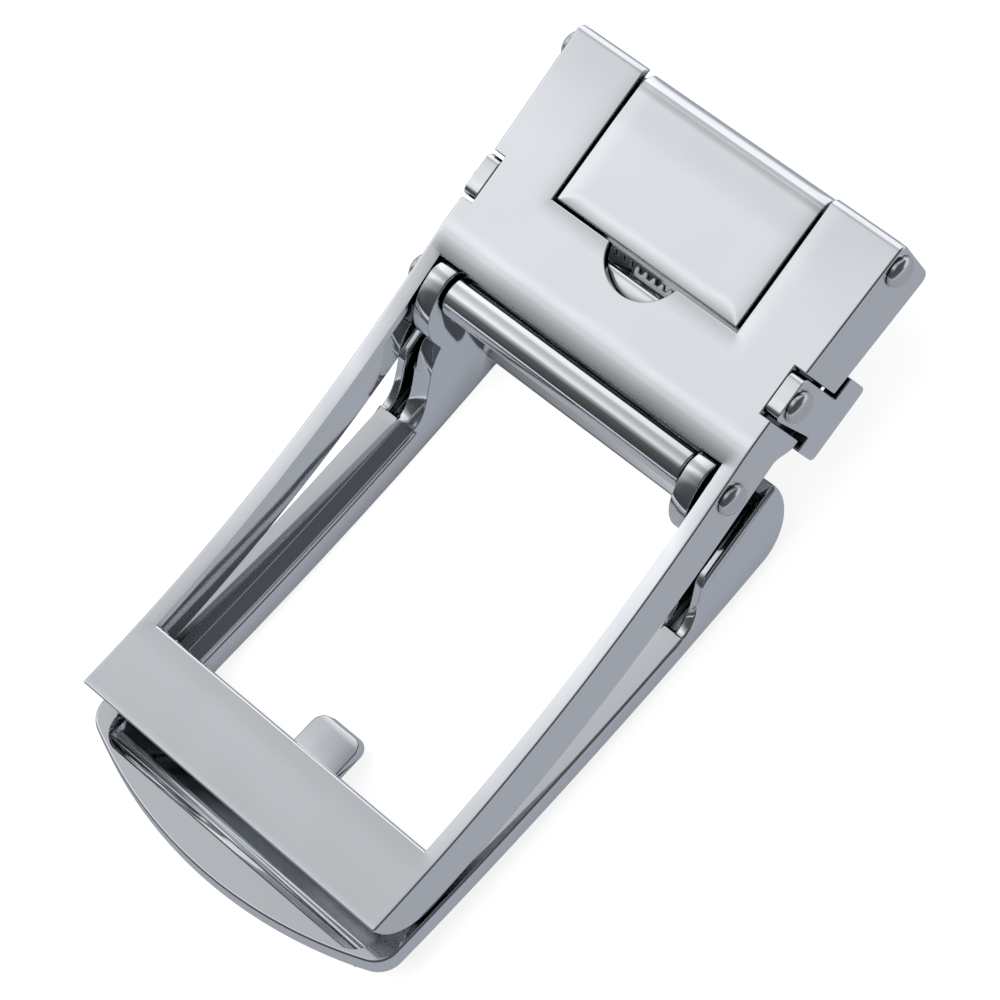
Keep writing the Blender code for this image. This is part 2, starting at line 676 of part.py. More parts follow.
def lobe_floor(x):
    """Height of the hollow's floor in the lobe, which rises to a shelf beside the ear."""
    low = max(face_height(x), FACE_LEVEL) + LOBE_FLOOR
    return low + (LOBE_TOP - LOBE_SHELF - low) * smooth(SHELF_FOOT, SHELF_START, x)


def hollow_lobe_outline():
    """The hollow between the lobe's outer wall and the ear's wall."""
    front = FACE_START + NOSE_LENGTH - LOBE_FRONT_WALL
    floor = [(x, lobe_floor(x)) for x in stations(LOBE_FADE_START, SHELF_FOOT, 6)]
    floor += [(x, lobe_floor(x)) for x in stations(SHELF_FOOT, SHELF_START, 6)[1:]]
    floor.append((front, lobe_floor(front)))
    return floor + [(front, FAR), (LOBE_FADE_START, FAR)]


def tongue_plan():
    """Plan of the small round-cornered tongue on the end bar."""
    tip = TONGUE_TIP - TONGUE_CORNER
    side = TONGUE_HALF_WIDTH - TONGUE_CORNER
    upper = [(tip + TONGUE_CORNER * cos(turn), side + TONGUE_CORNER * sin(turn))
             for turn in stations(pi / 2.0, 0.0, 5)]
    lower = [(x, -y) for x, y in reversed(upper)]
    root = WINDOW_END - PAST
    return [(root, TONGUE_HALF_WIDTH)] + upper + lower + [(root, -TONGUE_HALF_WIDTH)]


def tongue():
    """The tongue, leaning with the end bar."""
    bm = plan_bmesh(tongue_plan(), TONGUE_TOP - TONGUE_THICK, TONGUE_TOP)
    for vertex in bm.verts:
        vertex.co.z -= TONGUE_LEAN * (vertex.co.x - TONGUE_TIP + TONGUE_REACH)
    return bm


def make_front_frame(group, cutters, parent, metal):
    flat, full = frame_section(0.0), frame_section(1.0)
    out, window = FRAME_HALF_WIDTH + PAST, WINDOW_HALF_WIDTH
    sections = [(-out, flat), (-CROWN_HALF_WIDTH, full), (CROWN_HALF_WIDTH, full), (out, flat)]
    frame = add_piece("front_frame", loft_bmesh(sections), group, parent, HINGE_ROD, metal)

    plan = add_piece("trim_plan", loft_plans(-2.0 * FAR, FAR / 2.0), cutters, parent)
    combine(frame, plan, "INTERSECT")

    inner_wall = WINDOW_HALF_WIDTH + EAR_THICK
    tools = both_sides("cut_above_rim", lambda side: side_prism(
        above_rim_outline(), inner_wall, 2.0 * FRAME_HALF_WIDTH, side), cutters, parent)
    tools += both_sides("cut_lobe", lambda side: side_prism(
        hollow_lobe_outline(), LOBE_INNER, FRAME_HALF_WIDTH - LOBE_WALL, side), cutters, parent)
    opening = box_bmesh((WINDOW_END, -window, -3.0 * FAR), (WINDOW_HINGE, window, FAR))
    tools.append(add_piece("cut_window", opening, cutters, parent))
    bar_top = FACE_LEVEL + RIM_DEPTH - LEDGE_DEPTH
    above_bar = [(WINDOW_HINGE - PAST, bar_top), (BAR_FLAT_END, bar_top), BAR_LIP_FOOT,
                 (BAR_LIP_INNER, LOBE_TOP), (BAR_LIP_INNER, FAR), (WINDOW_HINGE - PAST, FAR)]
    tools.append(add_piece("cut_above_hinge_bar", prism_bmesh(above_bar, -window, window), cutters, parent))
    lip_top = box_bmesh((BAR_LIP_INNER - PAST, -window, LOBE_TOP), (FAR, window, FAR))
    tools.append(add_piece("cut_above_bar_lip", lip_top, cutters, parent))
    brink = recess_outline(0.0, POCKET_INNER - GAP, LOBE_FADE_START)
    ledge = recess_outline(LEDGE_DEPTH, POCKET_INNER - GAP, LOBE_FADE_START)
    sunk = loft_bmesh([(-LEDGE_OUTER, brink), (-LEDGE_INNER, ledge), (LEDGE_INNER, ledge),
                       (LEDGE_OUTER, brink)])
    tools.append(add_piece("cut_ledge", sunk, cutters, parent))
    tools.append(add_piece("cut_end_pocket", end_pocket(), cutters, parent))
    bore = rod_bmesh(HINGE_ROD, HINGE_ROD_RADIUS + GAP, FRAME_HALF_WIDTH)
    tools.append(add_piece("cut_ear_bore", bore, cutters, parent))
    for tool in tools:
        combine(frame, tool, "DIFFERENCE")

    combine(frame, add_piece("add_tongue", tongue(), cutters, parent), "UNION")
    return frame


def main():
    clear_scene()
    group = make_collection("ratchet_buckle")
    cutters = make_collection("cutters")
    parent = make_rest_empty(group)

    chrome = make_metal("chrome_sheet", (0.74, 0.75, 0.77), 0.10)
    cast_chrome = make_metal("chrome_casting", (0.70, 0.71, 0.73), 0.14)
    steel = make_metal("polished_steel", (0.66, 0.67, 0.69), 0.18)

    make_bracket(group, cutters, parent, chrome)
    make_clamp_flap(group, cutters, parent, chrome)
    raised, flush = (HEAD_WALL, HEAD_RISE), (0.0, FLUSH_RISE)
    mouth_wall = HALF_WIDTH + MOUTH_SPLAY
    headed_pin("clamp_pin", CLAMP_PIN, CLAMP_PIN_RADIUS, mouth_wall, raised, group, parent, steel)
    make_release_lever(group, cutters, parent, chrome)
    cheek_wall = CHEEK_OUTER + SEAT
    headed_pin("lever_pin", LEVER_PIN, LEVER_PIN_RADIUS, cheek_wall, flush, group, parent, steel)
    arm_wall = HALF_WIDTH + SEAT
    headed_pin("hinge_rod", HINGE_ROD, HINGE_ROD_RADIUS, arm_wall, raised, group, parent, steel)
    make_spacer_tube(group, parent, chrome)
    make_front_frame(group, cutters, parent, cast_chrome)
    bpy.context.view_layer.update()


main()
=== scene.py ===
"""Looks of a chrome ratchet belt buckle lying on its face in a white studio."""

import json
from math import acos, asin, cos, degrees, hypot, pi, radians, sin, sqrt

import bmesh
import bpy
from mathutils import Matrix, Vector


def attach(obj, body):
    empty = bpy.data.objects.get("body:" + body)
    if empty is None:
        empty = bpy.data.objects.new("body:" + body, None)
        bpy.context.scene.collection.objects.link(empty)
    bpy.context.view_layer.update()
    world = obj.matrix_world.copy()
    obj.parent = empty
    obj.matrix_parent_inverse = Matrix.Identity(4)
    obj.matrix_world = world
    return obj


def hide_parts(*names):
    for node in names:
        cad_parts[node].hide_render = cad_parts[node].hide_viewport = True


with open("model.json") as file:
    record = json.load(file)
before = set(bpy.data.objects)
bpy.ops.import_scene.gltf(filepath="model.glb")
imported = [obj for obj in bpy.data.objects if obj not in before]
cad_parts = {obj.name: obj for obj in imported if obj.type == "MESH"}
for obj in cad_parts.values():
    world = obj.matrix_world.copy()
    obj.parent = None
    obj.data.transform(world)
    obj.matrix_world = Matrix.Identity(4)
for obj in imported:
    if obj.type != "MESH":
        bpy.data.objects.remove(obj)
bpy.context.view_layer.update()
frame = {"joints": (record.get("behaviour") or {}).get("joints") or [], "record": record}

MM = 0.001

# Camera, in metres and degrees: what it looks at, from where, and its roll and lens
CAMERA_AIM = Vector((0.00218, -0.00074, 0.012))
CAMERA_DISTANCE = 0.38497
CAMERA_HEADING = 75.704
CAMERA_DROP = 61.375
CAMERA_ROLL = -36.018
LENS = 149.27
SENSOR = 36.0
CLIP_START = 0.02
CLIP_END = 10.0

# Studio: how bright the ceiling is for a direction's x, the dark round the horizon, and the spans
# of a direction's x, y or z over which one tone turns into the next
FLOOR_RADIUS = 1.6
CEILING_TONES = ((-0.95, 0.05), (-0.62, 0.10), (-0.42, 0.42), (-0.32, 0.72), (-0.265, 0.90),
                 (-0.215, 0.78), (-0.15, 0.80), (-0.06, 0.70), (0.03, 0.60), (0.15, 0.53),
                 (0.34, 0.50), (0.52, 0.92), (0.8, 1.0))
COOL = (0.972, 0.992, 1.03)
DARK = (0.045, 0.05, 0.058)
FRONT = (0.07, 0.075, 0.085)
SIDE_LIGHT = (0.93, 0.95, 0.97)
FRONT_SPAN = (-0.35, 0.50)
BACK_SPAN = (0.45, 0.65)
BACK_LIFT = 1.15
SIDE_SPAN = (0.30, 0.55)
HORIZON_SPAN = (0.02, 0.30)

# Floor: its own tone, and the painted reflection tone that the metal mirrors in place of it, darker
# near the middle, by distance in metres
FLOOR_PAPER = 0.30
FLOOR_GLOW = 0.86
PAINTED_REFLECTION_NEAR = (0.355, 0.375, 0.42)
PAINTED_REFLECTION_FAR = (0.72, 0.75, 0.80)
FLOOR_SPAN = (0.07, 0.25)

LAMP_PLACE = (-0.2, 0.15, 0.9)
LAMP_SIZE = 0.9
LAMP_POWER = 9.0

# Chromes: colour, roughness, and the depth in metres of the sheet's slow sway
SHEET_CHROME = ((0.915, 0.93, 0.94), 0.07, 0.00015)
CASTING_CHROME = ((0.88, 0.90, 0.915), 0.08, 0.0)
PIN_STEEL = ((0.80, 0.80, 0.80), 0.24, 0.0)
HAZE = {"Scale": 300.0, "Detail": 4.0, "Roughness": 0.6}
HAZE_SPAN = (0.3, 0.7)
HAZE_SHARES = (0.75, 1.3)
SWAY = {"Scale": 95.0, "Detail": 1.0, "Roughness": 0.4}

# Painted shade: the chrome's colour is darkened in narrow gaps and in hollows, where shade falls: a
# reach in metres, then the openness where the painted shade is full and where it ends, and the share of
# light left in full shade
GAP_SHADE = (0.0011, 0.30, 0.80, 0.03)
HOLLOW_SHADE = (0.010, 0.10, 0.60, 0.22)
COVER_SAMPLES = 4
# Colour of the painted shade in gaps and hollows
PAINTED_SHADE_COLOUR = (0.006, 0.007, 0.009)

# Shapes are made in millimetres, with x = 0 at the strap end of the back plate, -X towards the
# free end and z = 0 on the plate's back face. LYING then tips them and lays them on the floor.
PLATE_POINT = Vector((-18.5, 8.0, 0.0))
plate_mount = next(mount for mount in frame["record"]["mounts"] if mount["name"] == "back_plate")
LYING = (Matrix.Translation(Vector(plate_mount["pos_m"]))
         @ Matrix.Rotation(asin(plate_mount["axis"][0]), 4, "Y")
         @ Matrix.Scale(MM, 4) @ Matrix.Translation(-PLATE_POINT))
PIN_PLACES = {joint["name"]: LYING.inverted() @ Vector(joint["pos_m"]) for joint in frame["joints"]}
CLAMP_PIN = PIN_PLACES["flap_hinge"].xz
LEVER_PIN = PIN_PLACES["lever_pivot"].xz
HINGE_ROD = PIN_PLACES["frame_hinge"].xz

# Bracket
HALF_WIDTH = 20.0
SHEET = 0.9
FLANGE = 1.0
MOUTH_SPLAY = 0.45
SPLAY_START = -16.4
PLATE_FRONT = 0.5
PLATE_BACK = -25.0
PLATE_ROUND = 0.88
FOLD_ROUND = 0.24
BACK_FLAT = -21.0
BACK_BEND = 0.003986
BACK_DROP = 0.1566
BACK_EASE = 5.0
ARM_LIP = 1.7
CROSSBAR_INNER = -68.9
CROSSBAR_OUTER = -77.2
MOUTH_DEPTH = 7.85
MOUTH_LEAN = 0.51
MOUTH_ROUND = 1.1
CHEEK_DEPTH = 7.2
ARM_DEPTH = 5.75
STEP_START = -20.0
STEP_END = -22.4
ARM_END_START = -71.0
FLOOR_TOP = -6.9
FLOOR_BACK = -15.8
NOTCH_FRONT = -14.0
NOTCH_BACK = -19.3
NOTCH_DEPTH = 1.4
BORE_GAP = 0.3
EDGE_ROUND = 0.13
EDGE_STEPS = 2
FOLD_STEPS = 5

# Stamped edges roll down a little round the windows
ROLL_DEPTH = 0.16
ROLL_REACH = 3.0
ROLL_STEPS = (0.0, 0.15, 0.35, 0.6, 0.9, 1.3, 1.8, 2.4, 3.0)
ROLL_FLOOR = 0.2
SLICE_COUNT = 74

# Clamp flap, its window and its thumb notch
FLAP_HALF_WIDTH = 11.5
FLAP_END = -14.3
FLAP_SLOT = 0.35
THUMB_CENTRE = -13.65
THUMB_RADIUS = 4.4
CURL_RADIUS = 2.05
CURL_RUN = 4.2
CURL_SLICED = 1.0
CURL_DIP = 0.13
CURL_DIP_END = 1.2
FLAP_ROLL_FLOOR = 0.05
FLAP_TOP_DEPTH = 0.2
TOOTH_COUNT = 9
TOOTH_HEIGHT = 1.3
TOOTH_ROOT = 2.0
TOOTH_SINK = 0.9
TOOTH_INSET = 0.1
TOOTH_WIDTH = 0.98
TOOTH_POINT = 0.12

# Pins and tube
CLAMP_PIN_RADIUS = 0.7
LEVER_PIN_RADIUS = 0.55
HINGE_ROD_RADIUS = 0.8
HEAD_RADIUS = 1.6
HEAD_WALL = 0.22
HEAD_RISE = 1.1
FLUSH_RISE = 0.25
SEAT = 0.06
TUBE_RADIUS = 2.2
TUBE_BORE = 1.1
TUBE_ROUND = 0.3
TURN_STEPS = 64

# Release lever
CHEEK_INNER = 18.6
CHEEK_OUTER = 20.3
CHEEK_FRONT = -14.35
CHEEK_BACK = -18.95
CHEEK_FOOT_BACK = -18.55
CHEEK_ROUND = 0.8
SHIELD_INNER = 18.2
SHIELD_OUTER = 18.7
SHIELD_FRONT = -13.3
SHIELD_BACK = -19.9
SHIELD_STEP = -16.3
SHIELD_TOP = -1.3
SHIELD_FLOOR = -6.5
SHIELD_BOTTOM = -8.1
FOOT_FRONT = -11.9
FOOT_BACK = -20.2
FOOT_TOP = -7.85
FOOT_BOTTOM = -11.6
FOOT_ROUND = 0.6
WEB_FRONT = -16.4
WEB_TOP = -3.3
WEB_BOTTOM = -4.4
BARREL_HALF_WIDTH = 6.0
BARREL_TOP = -1.0
BARREL_BACK_TOP = -1.3
BARREL_GAP = 0.1
COMB_TIP = -14.9
COMB_ROOT = -15.4
COMB_TOOTH = ((COMB_ROOT, 0.15), (COMB_TIP, 0.35), (COMB_TIP, 0.65), (COMB_ROOT, 0.85))
COMB_PITCH = 1.05
COMB_TEETH = 11
PAWL_SET_BACK = 0.9
PAWL_TIP = -7.2
PAWL_HALF_WIDTH = 14.0
LUG_INNER = 15.0
LUG_THICK = 1.4
LUG_RADIUS = 1.25

# Front frame
FRAME_HALF_WIDTH = 20.4
WINDOW_HALF_WIDTH = 15.7
WINDOW_HINGE = -30.6
WINDOW_END = -70.6
BAR_FLAT_END = -27.6
BAR_LIP_FOOT = (-25.4, -12.4)
BAR_LIP_INNER = -24.9
FACE_START = -30.0
FACE_LEVEL = -15.8
FACE_SLOPE = 0.1687
FACE_BEND = 0.001737
FACE_END = -86.0
RIM_DEPTH = 2.4
RIM_FLAT_END = -77.0
CROWN = 1.4
CROWN_RUN = 6.0
CROWN_SHARES = ((21.4, 0.0), (20.4, 0.07), (19.6, 0.27), (18.8, 0.47), (18.0, 0.68), (17.2, 0.87),
                (16.6, 0.96), (15.7, 1.0))
NOSE_LENGTH = 6.1
LOBE_TOP = -8.0
LOBE_FADE_START = -40.5
LOBE_FADE_END = -34.2
LOBE_WALL = 1.1
LOBE_INNER = 18.05
LOBE_FLOOR = 1.2
LOBE_NOSE_WALL = 1.6
LOBE_SHELF = 0.7
SHELF_FOOT = -31.5
SHELF_START = -29.0
END_APEX = -84.35
END_RADIUS = 46.0
END_CORNER = 3.0
END_LEAN = 0.42
EAR_THICK = 2.2
EAR_RADIUS = 2.6
EAR_BULGE_CENTRE = (-27.0, -5.2)
EAR_BULGE_RADIUS = 5.2
EAR_FOOT_DROP = 1.2
LEDGE_DEPTH = 0.9
LEDGE_OUTER = 17.4
LEDGE_INNER = 16.3
LEDGE_SPARE = 0.25
POCKET_STEPS = ((-0.03, -0.1), (0.05, 0.30), (0.50, 0.44), (0.56, 0.60), (1.15, 0.69), (1.21, 0.80),
                (7.95, 1.75))
POCKET_OUTER = -80.95
POCKET_INNER = -73.0
POCKET_HALF_WIDTH = 18.0
POCKET_CORNER = 2.5
POCKET_SPARE = 0.1
TONGUE_TIP = -66.2
TONGUE_TOP = -5.0
TONGUE_HALF_WIDTH = 2.95
TONGUE_THICK = 1.4
TONGUE_CORNER = 1.3
TONGUE_LEAN = 0.29
TONGUE_REACH = 2.2
CAST_ROUND = 0.16
RIM_ROUND = 0.32
RIM_ROUND_STEPS = 3
FACE_STATIONS = 56

# Edges that turn more than this, in degrees, stay crisp
SHARP_ANGLE = 50.0

# Edges that turn more than these, in degrees, are rounded
FOLD_ANGLE = 30.0
STAMPED_ANGLE = 40.0
CAST_ANGLE = 28.0

# Corners nearer than this are one, and faces that turn less than this, in degrees, are one
WELD = 0.0008
FLAT_ANGLE = 0.06

# How near a point counts as lying on a line, a straight side and a curved side
NEAR = 0.01
SIDE_NEAR = 0.02
CURVE_NEAR = 0.03

# Beyond every piece, for cutters
FAR = 12.0


def make_camera():
    """A long lens above the strap end's right side, rolled as in the photograph."""
    heading, drop = radians(CAMERA_HEADING), radians(CAMERA_DROP)
    forward = Vector((cos(heading) * cos(drop), sin(heading) * cos(drop), -sin(drop)))
    data = bpy.data.cameras.new("camera")
    data.lens = LENS
    data.sensor_width = SENSOR
    data.clip_start = CLIP_START
    data.clip_end = CLIP_END
    camera = bpy.data.objects.new("camera", data)
    bpy.context.scene.collection.objects.link(camera)
    turn = forward.to_track_quat("-Z", "Y").to_matrix().to_4x4()
    roll = Matrix.Rotation(radians(CAMERA_ROLL), 4, "Z")
    camera.matrix_world = Matrix.Translation(CAMERA_AIM - forward * CAMERA_DISTANCE) @ turn @ roll
    bpy.context.scene.camera = camera


# Node helpers

def new_node(tree, kind, **values):
    """A shader node with its properties set, and its sockets where the name isn't a property."""
    node = tree.nodes.new(kind)
    for name, value in values.items():
        if hasattr(node, name):
            setattr(node, name, value)
        else:
            node.inputs[name.replace("_", " ")].default_value = value
    return node


def ramp(tree, source, low, high, first, second):
    """A soft step between two values."""
    node = new_node(tree, "ShaderNodeMapRange", interpolation_type="SMOOTHSTEP")
    for name, value in (("From Min", low), ("From Max", high), ("To Min", first), ("To Max", second)):
        node.inputs[name].default_value = value
    tree.links.new(source, node.inputs["Value"])
    return node.outputs["Result"]


def blend(tree, share, first, second, kind="MIX"):
    """Mix two colours, each a socket or three numbers."""
    node = new_node(tree, "ShaderNodeMix", data_type="RGBA", blend_type=kind)
    for socket, value in ((node.inputs[0], share), (node.inputs[6], first), (node.inputs[7], second)):
        if isinstance(value, tuple):
            socket.default_value = (*value, 1.0)
        elif isinstance(value, float):
            socket.default_value = value
        else:
            tree.links.new(value, socket)
    return node.outputs[2]


def make_world():
    """A ceiling that is white on the left and grey on the right, and dark round the horizon."""
    world = bpy.data.worlds.new("studio")
    bpy.context.scene.world = world
    world.use_nodes = True
    tree = world.node_tree
    tree.nodes.clear()
    place = new_node(tree, "ShaderNodeTexCoord")
    split = new_node(tree, "ShaderNodeSeparateXYZ")
    tree.links.new(place.outputs["Generated"], split.inputs[0])
    x, y, z = split.outputs
    share = new_node(tree, "ShaderNodeMapRange")
    share.inputs["From Min"].default_value = -1.0
    tree.links.new(x, share.inputs["Value"])
    tones = new_node(tree, "ShaderNodeValToRGB")
    stops = tones.color_ramp.elements
    while len(stops) < len(CEILING_TONES):
        stops.new(0.5)
    for stop, (direction, tone) in zip(stops, CEILING_TONES):
        stop.position = (direction + 1.0) / 2.0
        stop.color = (tone * COOL[0], tone * COOL[1], tone * COOL[2], 1.0)
    tree.links.new(share.outputs["Result"], tones.inputs[0])
    front = blend(tree, ramp(tree, y, *FRONT_SPAN, 0.0, 1.0), FRONT, tones.outputs[0])
    ceiling = blend(tree, 1.0, front, ramp(tree, y, *BACK_SPAN, 1.0, BACK_LIFT), "MULTIPLY")
    edge = blend(tree, ramp(tree, x, *SIDE_SPAN, 0.0, 1.0), DARK, SIDE_LIGHT)
    wall = blend(tree, ramp(tree, z, *HORIZON_SPAN, 0.0, 1.0), edge, ceiling)
    background = new_node(tree, "ShaderNodeBackground")
    tree.links.new(wall, background.inputs["Color"])
    out = new_node(tree, "ShaderNodeOutputWorld")
    tree.links.new(background.outputs[0], out.inputs[0])


def make_floor():
    """A round white floor with hardly a shadow, which shows the metal a painted reflection: grey, paler
    far away.
    """
    bm = bmesh.new()
    bmesh.ops.create_circle(bm, cap_ends=True, segments=64, radius=FLOOR_RADIUS)
    mesh = bpy.data.meshes.new("floor")
    bm.to_mesh(mesh)
    bm.free()
    floor = bpy.data.objects.new("floor", mesh)
    bpy.context.scene.collection.objects.link(floor)
    material = bpy.data.materials.new("white_floor")
    material.use_nodes = True
    tree = material.node_tree
    tree.nodes.clear()
    place = new_node(tree, "ShaderNodeTexCoord")
    reach = new_node(tree, "ShaderNodeVectorMath", operation="LENGTH")
    tree.links.new(place.outputs["Object"], reach.inputs[0])
    far = ramp(tree, reach.outputs["Value"], *FLOOR_SPAN, 0.0, 1.0)
    grey = blend(tree, far, PAINTED_REFLECTION_NEAR, PAINTED_REFLECTION_FAR)
    paper = new_node(tree, "ShaderNodeBsdfDiffuse", Color=(FLOOR_PAPER, FLOOR_PAPER, FLOOR_PAPER, 1.0))
    glow = new_node(tree, "ShaderNodeEmission", Color=(FLOOR_GLOW, FLOOR_GLOW, FLOOR_GLOW, 1.0))
    lit_paper = new_node(tree, "ShaderNodeAddShader")
    tree.links.new(paper.outputs[0], lit_paper.inputs[0])
    tree.links.new(glow.outputs[0], lit_paper.inputs[1])
    # Glossy rays see this painted reflection tone instead of the lit floor
    mirrored = new_node(tree, "ShaderNodeEmission")
    tree.links.new(grey, mirrored.inputs["Color"])
    light_path = new_node(tree, "ShaderNodeLightPath")
    mix = new_node(tree, "ShaderNodeMixShader")
    out = new_node(tree, "ShaderNodeOutputMaterial")
    tree.links.new(light_path.outputs["Is Glossy Ray"], mix.inputs[0])
    tree.links.new(lit_paper.outputs[0], mix.inputs[1])
    tree.links.new(mirrored.outputs[0], mix.inputs[2])
    tree.links.new(mix.outputs[0], out.inputs[0])
    mesh.materials.append(material)


def make_light(name, place, size, power):
    """A soft square lamp that the metal doesn't mirror."""
    data = bpy.data.lights.new(name, "AREA")
    data.shape = "SQUARE"
    data.size = size
    data.energy = power
    lamp = bpy.data.objects.new(name, data)
    bpy.context.scene.collection.objects.link(lamp)
    lamp.location = place
    lamp.rotation_mode = "QUATERNION"
    lamp.rotation_quaternion = (-Vector(place)).to_track_quat("-Z", "Y")
    lamp.visible_glossy = False


def painted_shade_share(tree, reach, low, high, darkest):
    """How open a spot is within a reach, as a factor from darkest to 1 that paints shade into the
    colour.
    """
    cover = new_node(tree, "ShaderNodeAmbientOcclusion", samples=COVER_SAMPLES, Distance=reach)
    return ramp(tree, cover.outputs["AO"], low, high, darkest, 1.0)


def make_chrome(name, colour, roughness, sway):
    """Polished chrome with painted shade in gaps and hollows, faint haze and, on the sheet, a slow
    sway.
    """
    material = bpy.data.materials.new(name)
    material.use_nodes = True
    tree = material.node_tree
    shader = tree.nodes["Principled BSDF"]
    shader.inputs["Metallic"].default_value = 1.0
    place = new_node(tree, "ShaderNodeTexCoord")

    # Painted shade: the colour darkens where gaps and hollows are closed in
    shade = new_node(tree, "ShaderNodeMath", operation="MULTIPLY")
    tree.links.new(painted_shade_share(tree, *GAP_SHADE), shade.inputs[0])
    tree.links.new(painted_shade_share(tree, *HOLLOW_SHADE), shade.inputs[1])
    painted_shade_tint = blend(tree, shade.outputs[0], PAINTED_SHADE_COLOUR, colour)
    tree.links.new(painted_shade_tint, shader.inputs["Base Color"])

    haze = new_node(tree, "ShaderNodeTexNoise", **HAZE)
    tree.links.new(place.outputs["Object"], haze.inputs["Vector"])
    clearest, haziest = (roughness * share for share in HAZE_SHARES)
    spread = ramp(tree, haze.outputs["Fac"], *HAZE_SPAN, clearest, haziest)
    tree.links.new(spread, shader.inputs["Roughness"])

    if sway == 0.0:
        return material
    slow = new_node(tree, "ShaderNodeTexNoise", **SWAY)
    tree.links.new(place.outputs["Object"], slow.inputs["Vector"])
    swaying = new_node(tree, "ShaderNodeBump", Strength=1.0, Distance=sway)
    tree.links.new(slow.outputs["Fac"], swaying.inputs["Height"])
    tree.links.new(swaying.outputs["Normal"], shader.inputs["Normal"])
    return material


# Curves of the side view

def smooth(low, high, value):
    """0 at low, 1 at high, with an even start and stop."""
    share = min(max((value - low) / (high - low), 0.0), 1.0)
    return share * share * (3.0 - 2.0 * share)


def stations(start, stop, count):
    return [start + (stop - start) * step / count for step in range(count + 1)]


def arc(centre, radius, first, last, count):
    """Points on an arc between two angles in degrees."""
    return [(centre[0] + radius * cos(radians(angle)), centre[1] + radius * sin(radians(angle)))
            for angle in stations(first, last, count)]


def back_height(x):
    """Height of the bracket's back face, flat under the clamp, then curved to the wearer."""
    run = max(BACK_FLAT - x, 0.0)
    return BACK_BEND * run * run - BACK_DROP * run * run / (run + BACK_EASE)


def flange_depth(x):
    """Depth of the bracket's side flange below its back face."""
    if x > STEP_START:
        share = (PLATE_FRONT - x) / (PLATE_FRONT - STEP_START)
        return MOUTH_DEPTH + (CHEEK_DEPTH - MOUTH_DEPTH) * share
    return CHEEK_DEPTH + (ARM_DEPTH - CHEEK_DEPTH) * smooth(STEP_START, STEP_END, x)


def face_height(x):
    """Height of the front frame's face along its outer edge."""
    if x > FACE_START:
        share = min((x - FACE_START) / NOSE_LENGTH, 1.0)
        return LOBE_TOP + (FACE_LEVEL - LOBE_TOP) * sqrt(1.0 - share * share)
    run = FACE_START - x
    return FACE_LEVEL + FACE_SLOPE * run + FACE_BEND * run * run


def crown(x):
    """How far the face stands out at the window edge beyond its outer edge."""
    at_hinge = smooth(FACE_START + NOSE_LENGTH, FACE_START, x)
    at_end = smooth(END_APEX, END_APEX + 2.0 * CROWN_RUN, x)
    return CROWN * at_hinge * at_end


def rim_height(x):
    """Height of the frame's outer wall, which rises into a lobe beside the hinge."""
    low = face_height(min(x, FACE_START)) + RIM_DEPTH
    return low + (LOBE_TOP - low) * smooth(LOBE_FADE_START, LOBE_FADE_END, x)


def inner_wall_height(x):
    """Height of the wall beside the window, falling from the ear to the ledge."""
    low = face_height(x) + RIM_DEPTH
    foot = EAR_BULGE_CENTRE[1] - EAR_FOOT_DROP
    return low + (foot - low) * smooth(LOBE_FADE_START, EAR_BULGE_CENTRE[0] - EAR_BULGE_RADIUS, x)


# Along the frame's rim, which is flat where the end bows
RIM_PLACES = [FACE_END] + stations(RIM_FLAT_END, LOBE_FADE_START, 37)


# Modelling steps

def prism(outline, low, high, along="y"):
    """Extrude an outline along Y, from points of x and z, or along Z, from points of x and y."""
    bm = bmesh.new()
    if along == "y":
        corners = [bm.verts.new((x, low, z)) for x, z in outline]
        step = (0.0, high - low, 0.0)
    else:
        corners = [bm.verts.new((x, y, low)) for x, y in outline]
        step = (0.0, 0.0, high - low)
    face = bm.faces.new(corners)
    grown = bmesh.ops.extrude_face_region(bm, geom=[face])["geom"]
    moved = [item for item in grown if isinstance(item, bmesh.types.BMVert)]
    bmesh.ops.translate(bm, verts=moved, vec=step)
    return bm


def side_prism(outline, inner, outer, side):
    """A prism between two distances from the middle line, on one side of it."""
    low, high = sorted((inner * side, outer * side))
    return prism(outline, low, high)


def block(low, high):
    """A box between two corners."""
    bm = bmesh.new()
    size = Vector(high) - Vector(low)
    middle = (Vector(high) + Vector(low)) / 2.0
    place = Matrix.Translation(middle) @ Matrix.Diagonal((*size, 1.0))
    bmesh.ops.create_cube(bm, size=1.0, matrix=place)
    return bm


def rod(axis, radius, half_length):
    """A round bar along Y."""
    bm = bmesh.new()
    place = Matrix.Translation((axis[0], 0.0, axis[1])) @ Matrix.Rotation(pi / 2.0, 4, "X")
    bmesh.ops.create_cone(bm, cap_ends=True, segments=TURN_STEPS, radius1=radius, radius2=radius,
                          depth=2.0 * half_length, matrix=place)
    return bm


def bridged(rings):
    """Join rings of equal point counts into one closed solid."""
    bm = bmesh.new()
    rows = [[bm.verts.new(point) for point in ring] for ring in rings]
    loops = [[bm.edges.new((row[i - 1], row[i])) for i in range(len(row))] for row in rows]
    for first, second in zip(loops, loops[1:]):
        bmesh.ops.bridge_loops(bm, edges=first + second)
    bm.faces.new(rows[0])
    bm.faces.new(rows[-1])
    return bm


def turned(profile, axis):
    """Spin a profile of (radius, distance along Y) about an axis along Y."""
    bm = bmesh.new()
    points = [bm.verts.new((axis[0] + radius, along, axis[1])) for radius, along in profile]
    edges = [bm.edges.new(pair) for pair in zip(points, points[1:])]
    bmesh.ops.spin(bm, geom=points + edges, cent=(axis[0], 0.0, axis[1]), axis=(0.0, 1.0, 0.0),
                   angle=2.0 * pi, steps=TURN_STEPS, use_merge=True)
    bmesh.ops.remove_doubles(bm, verts=bm.verts, dist=0.0005)
    return bm


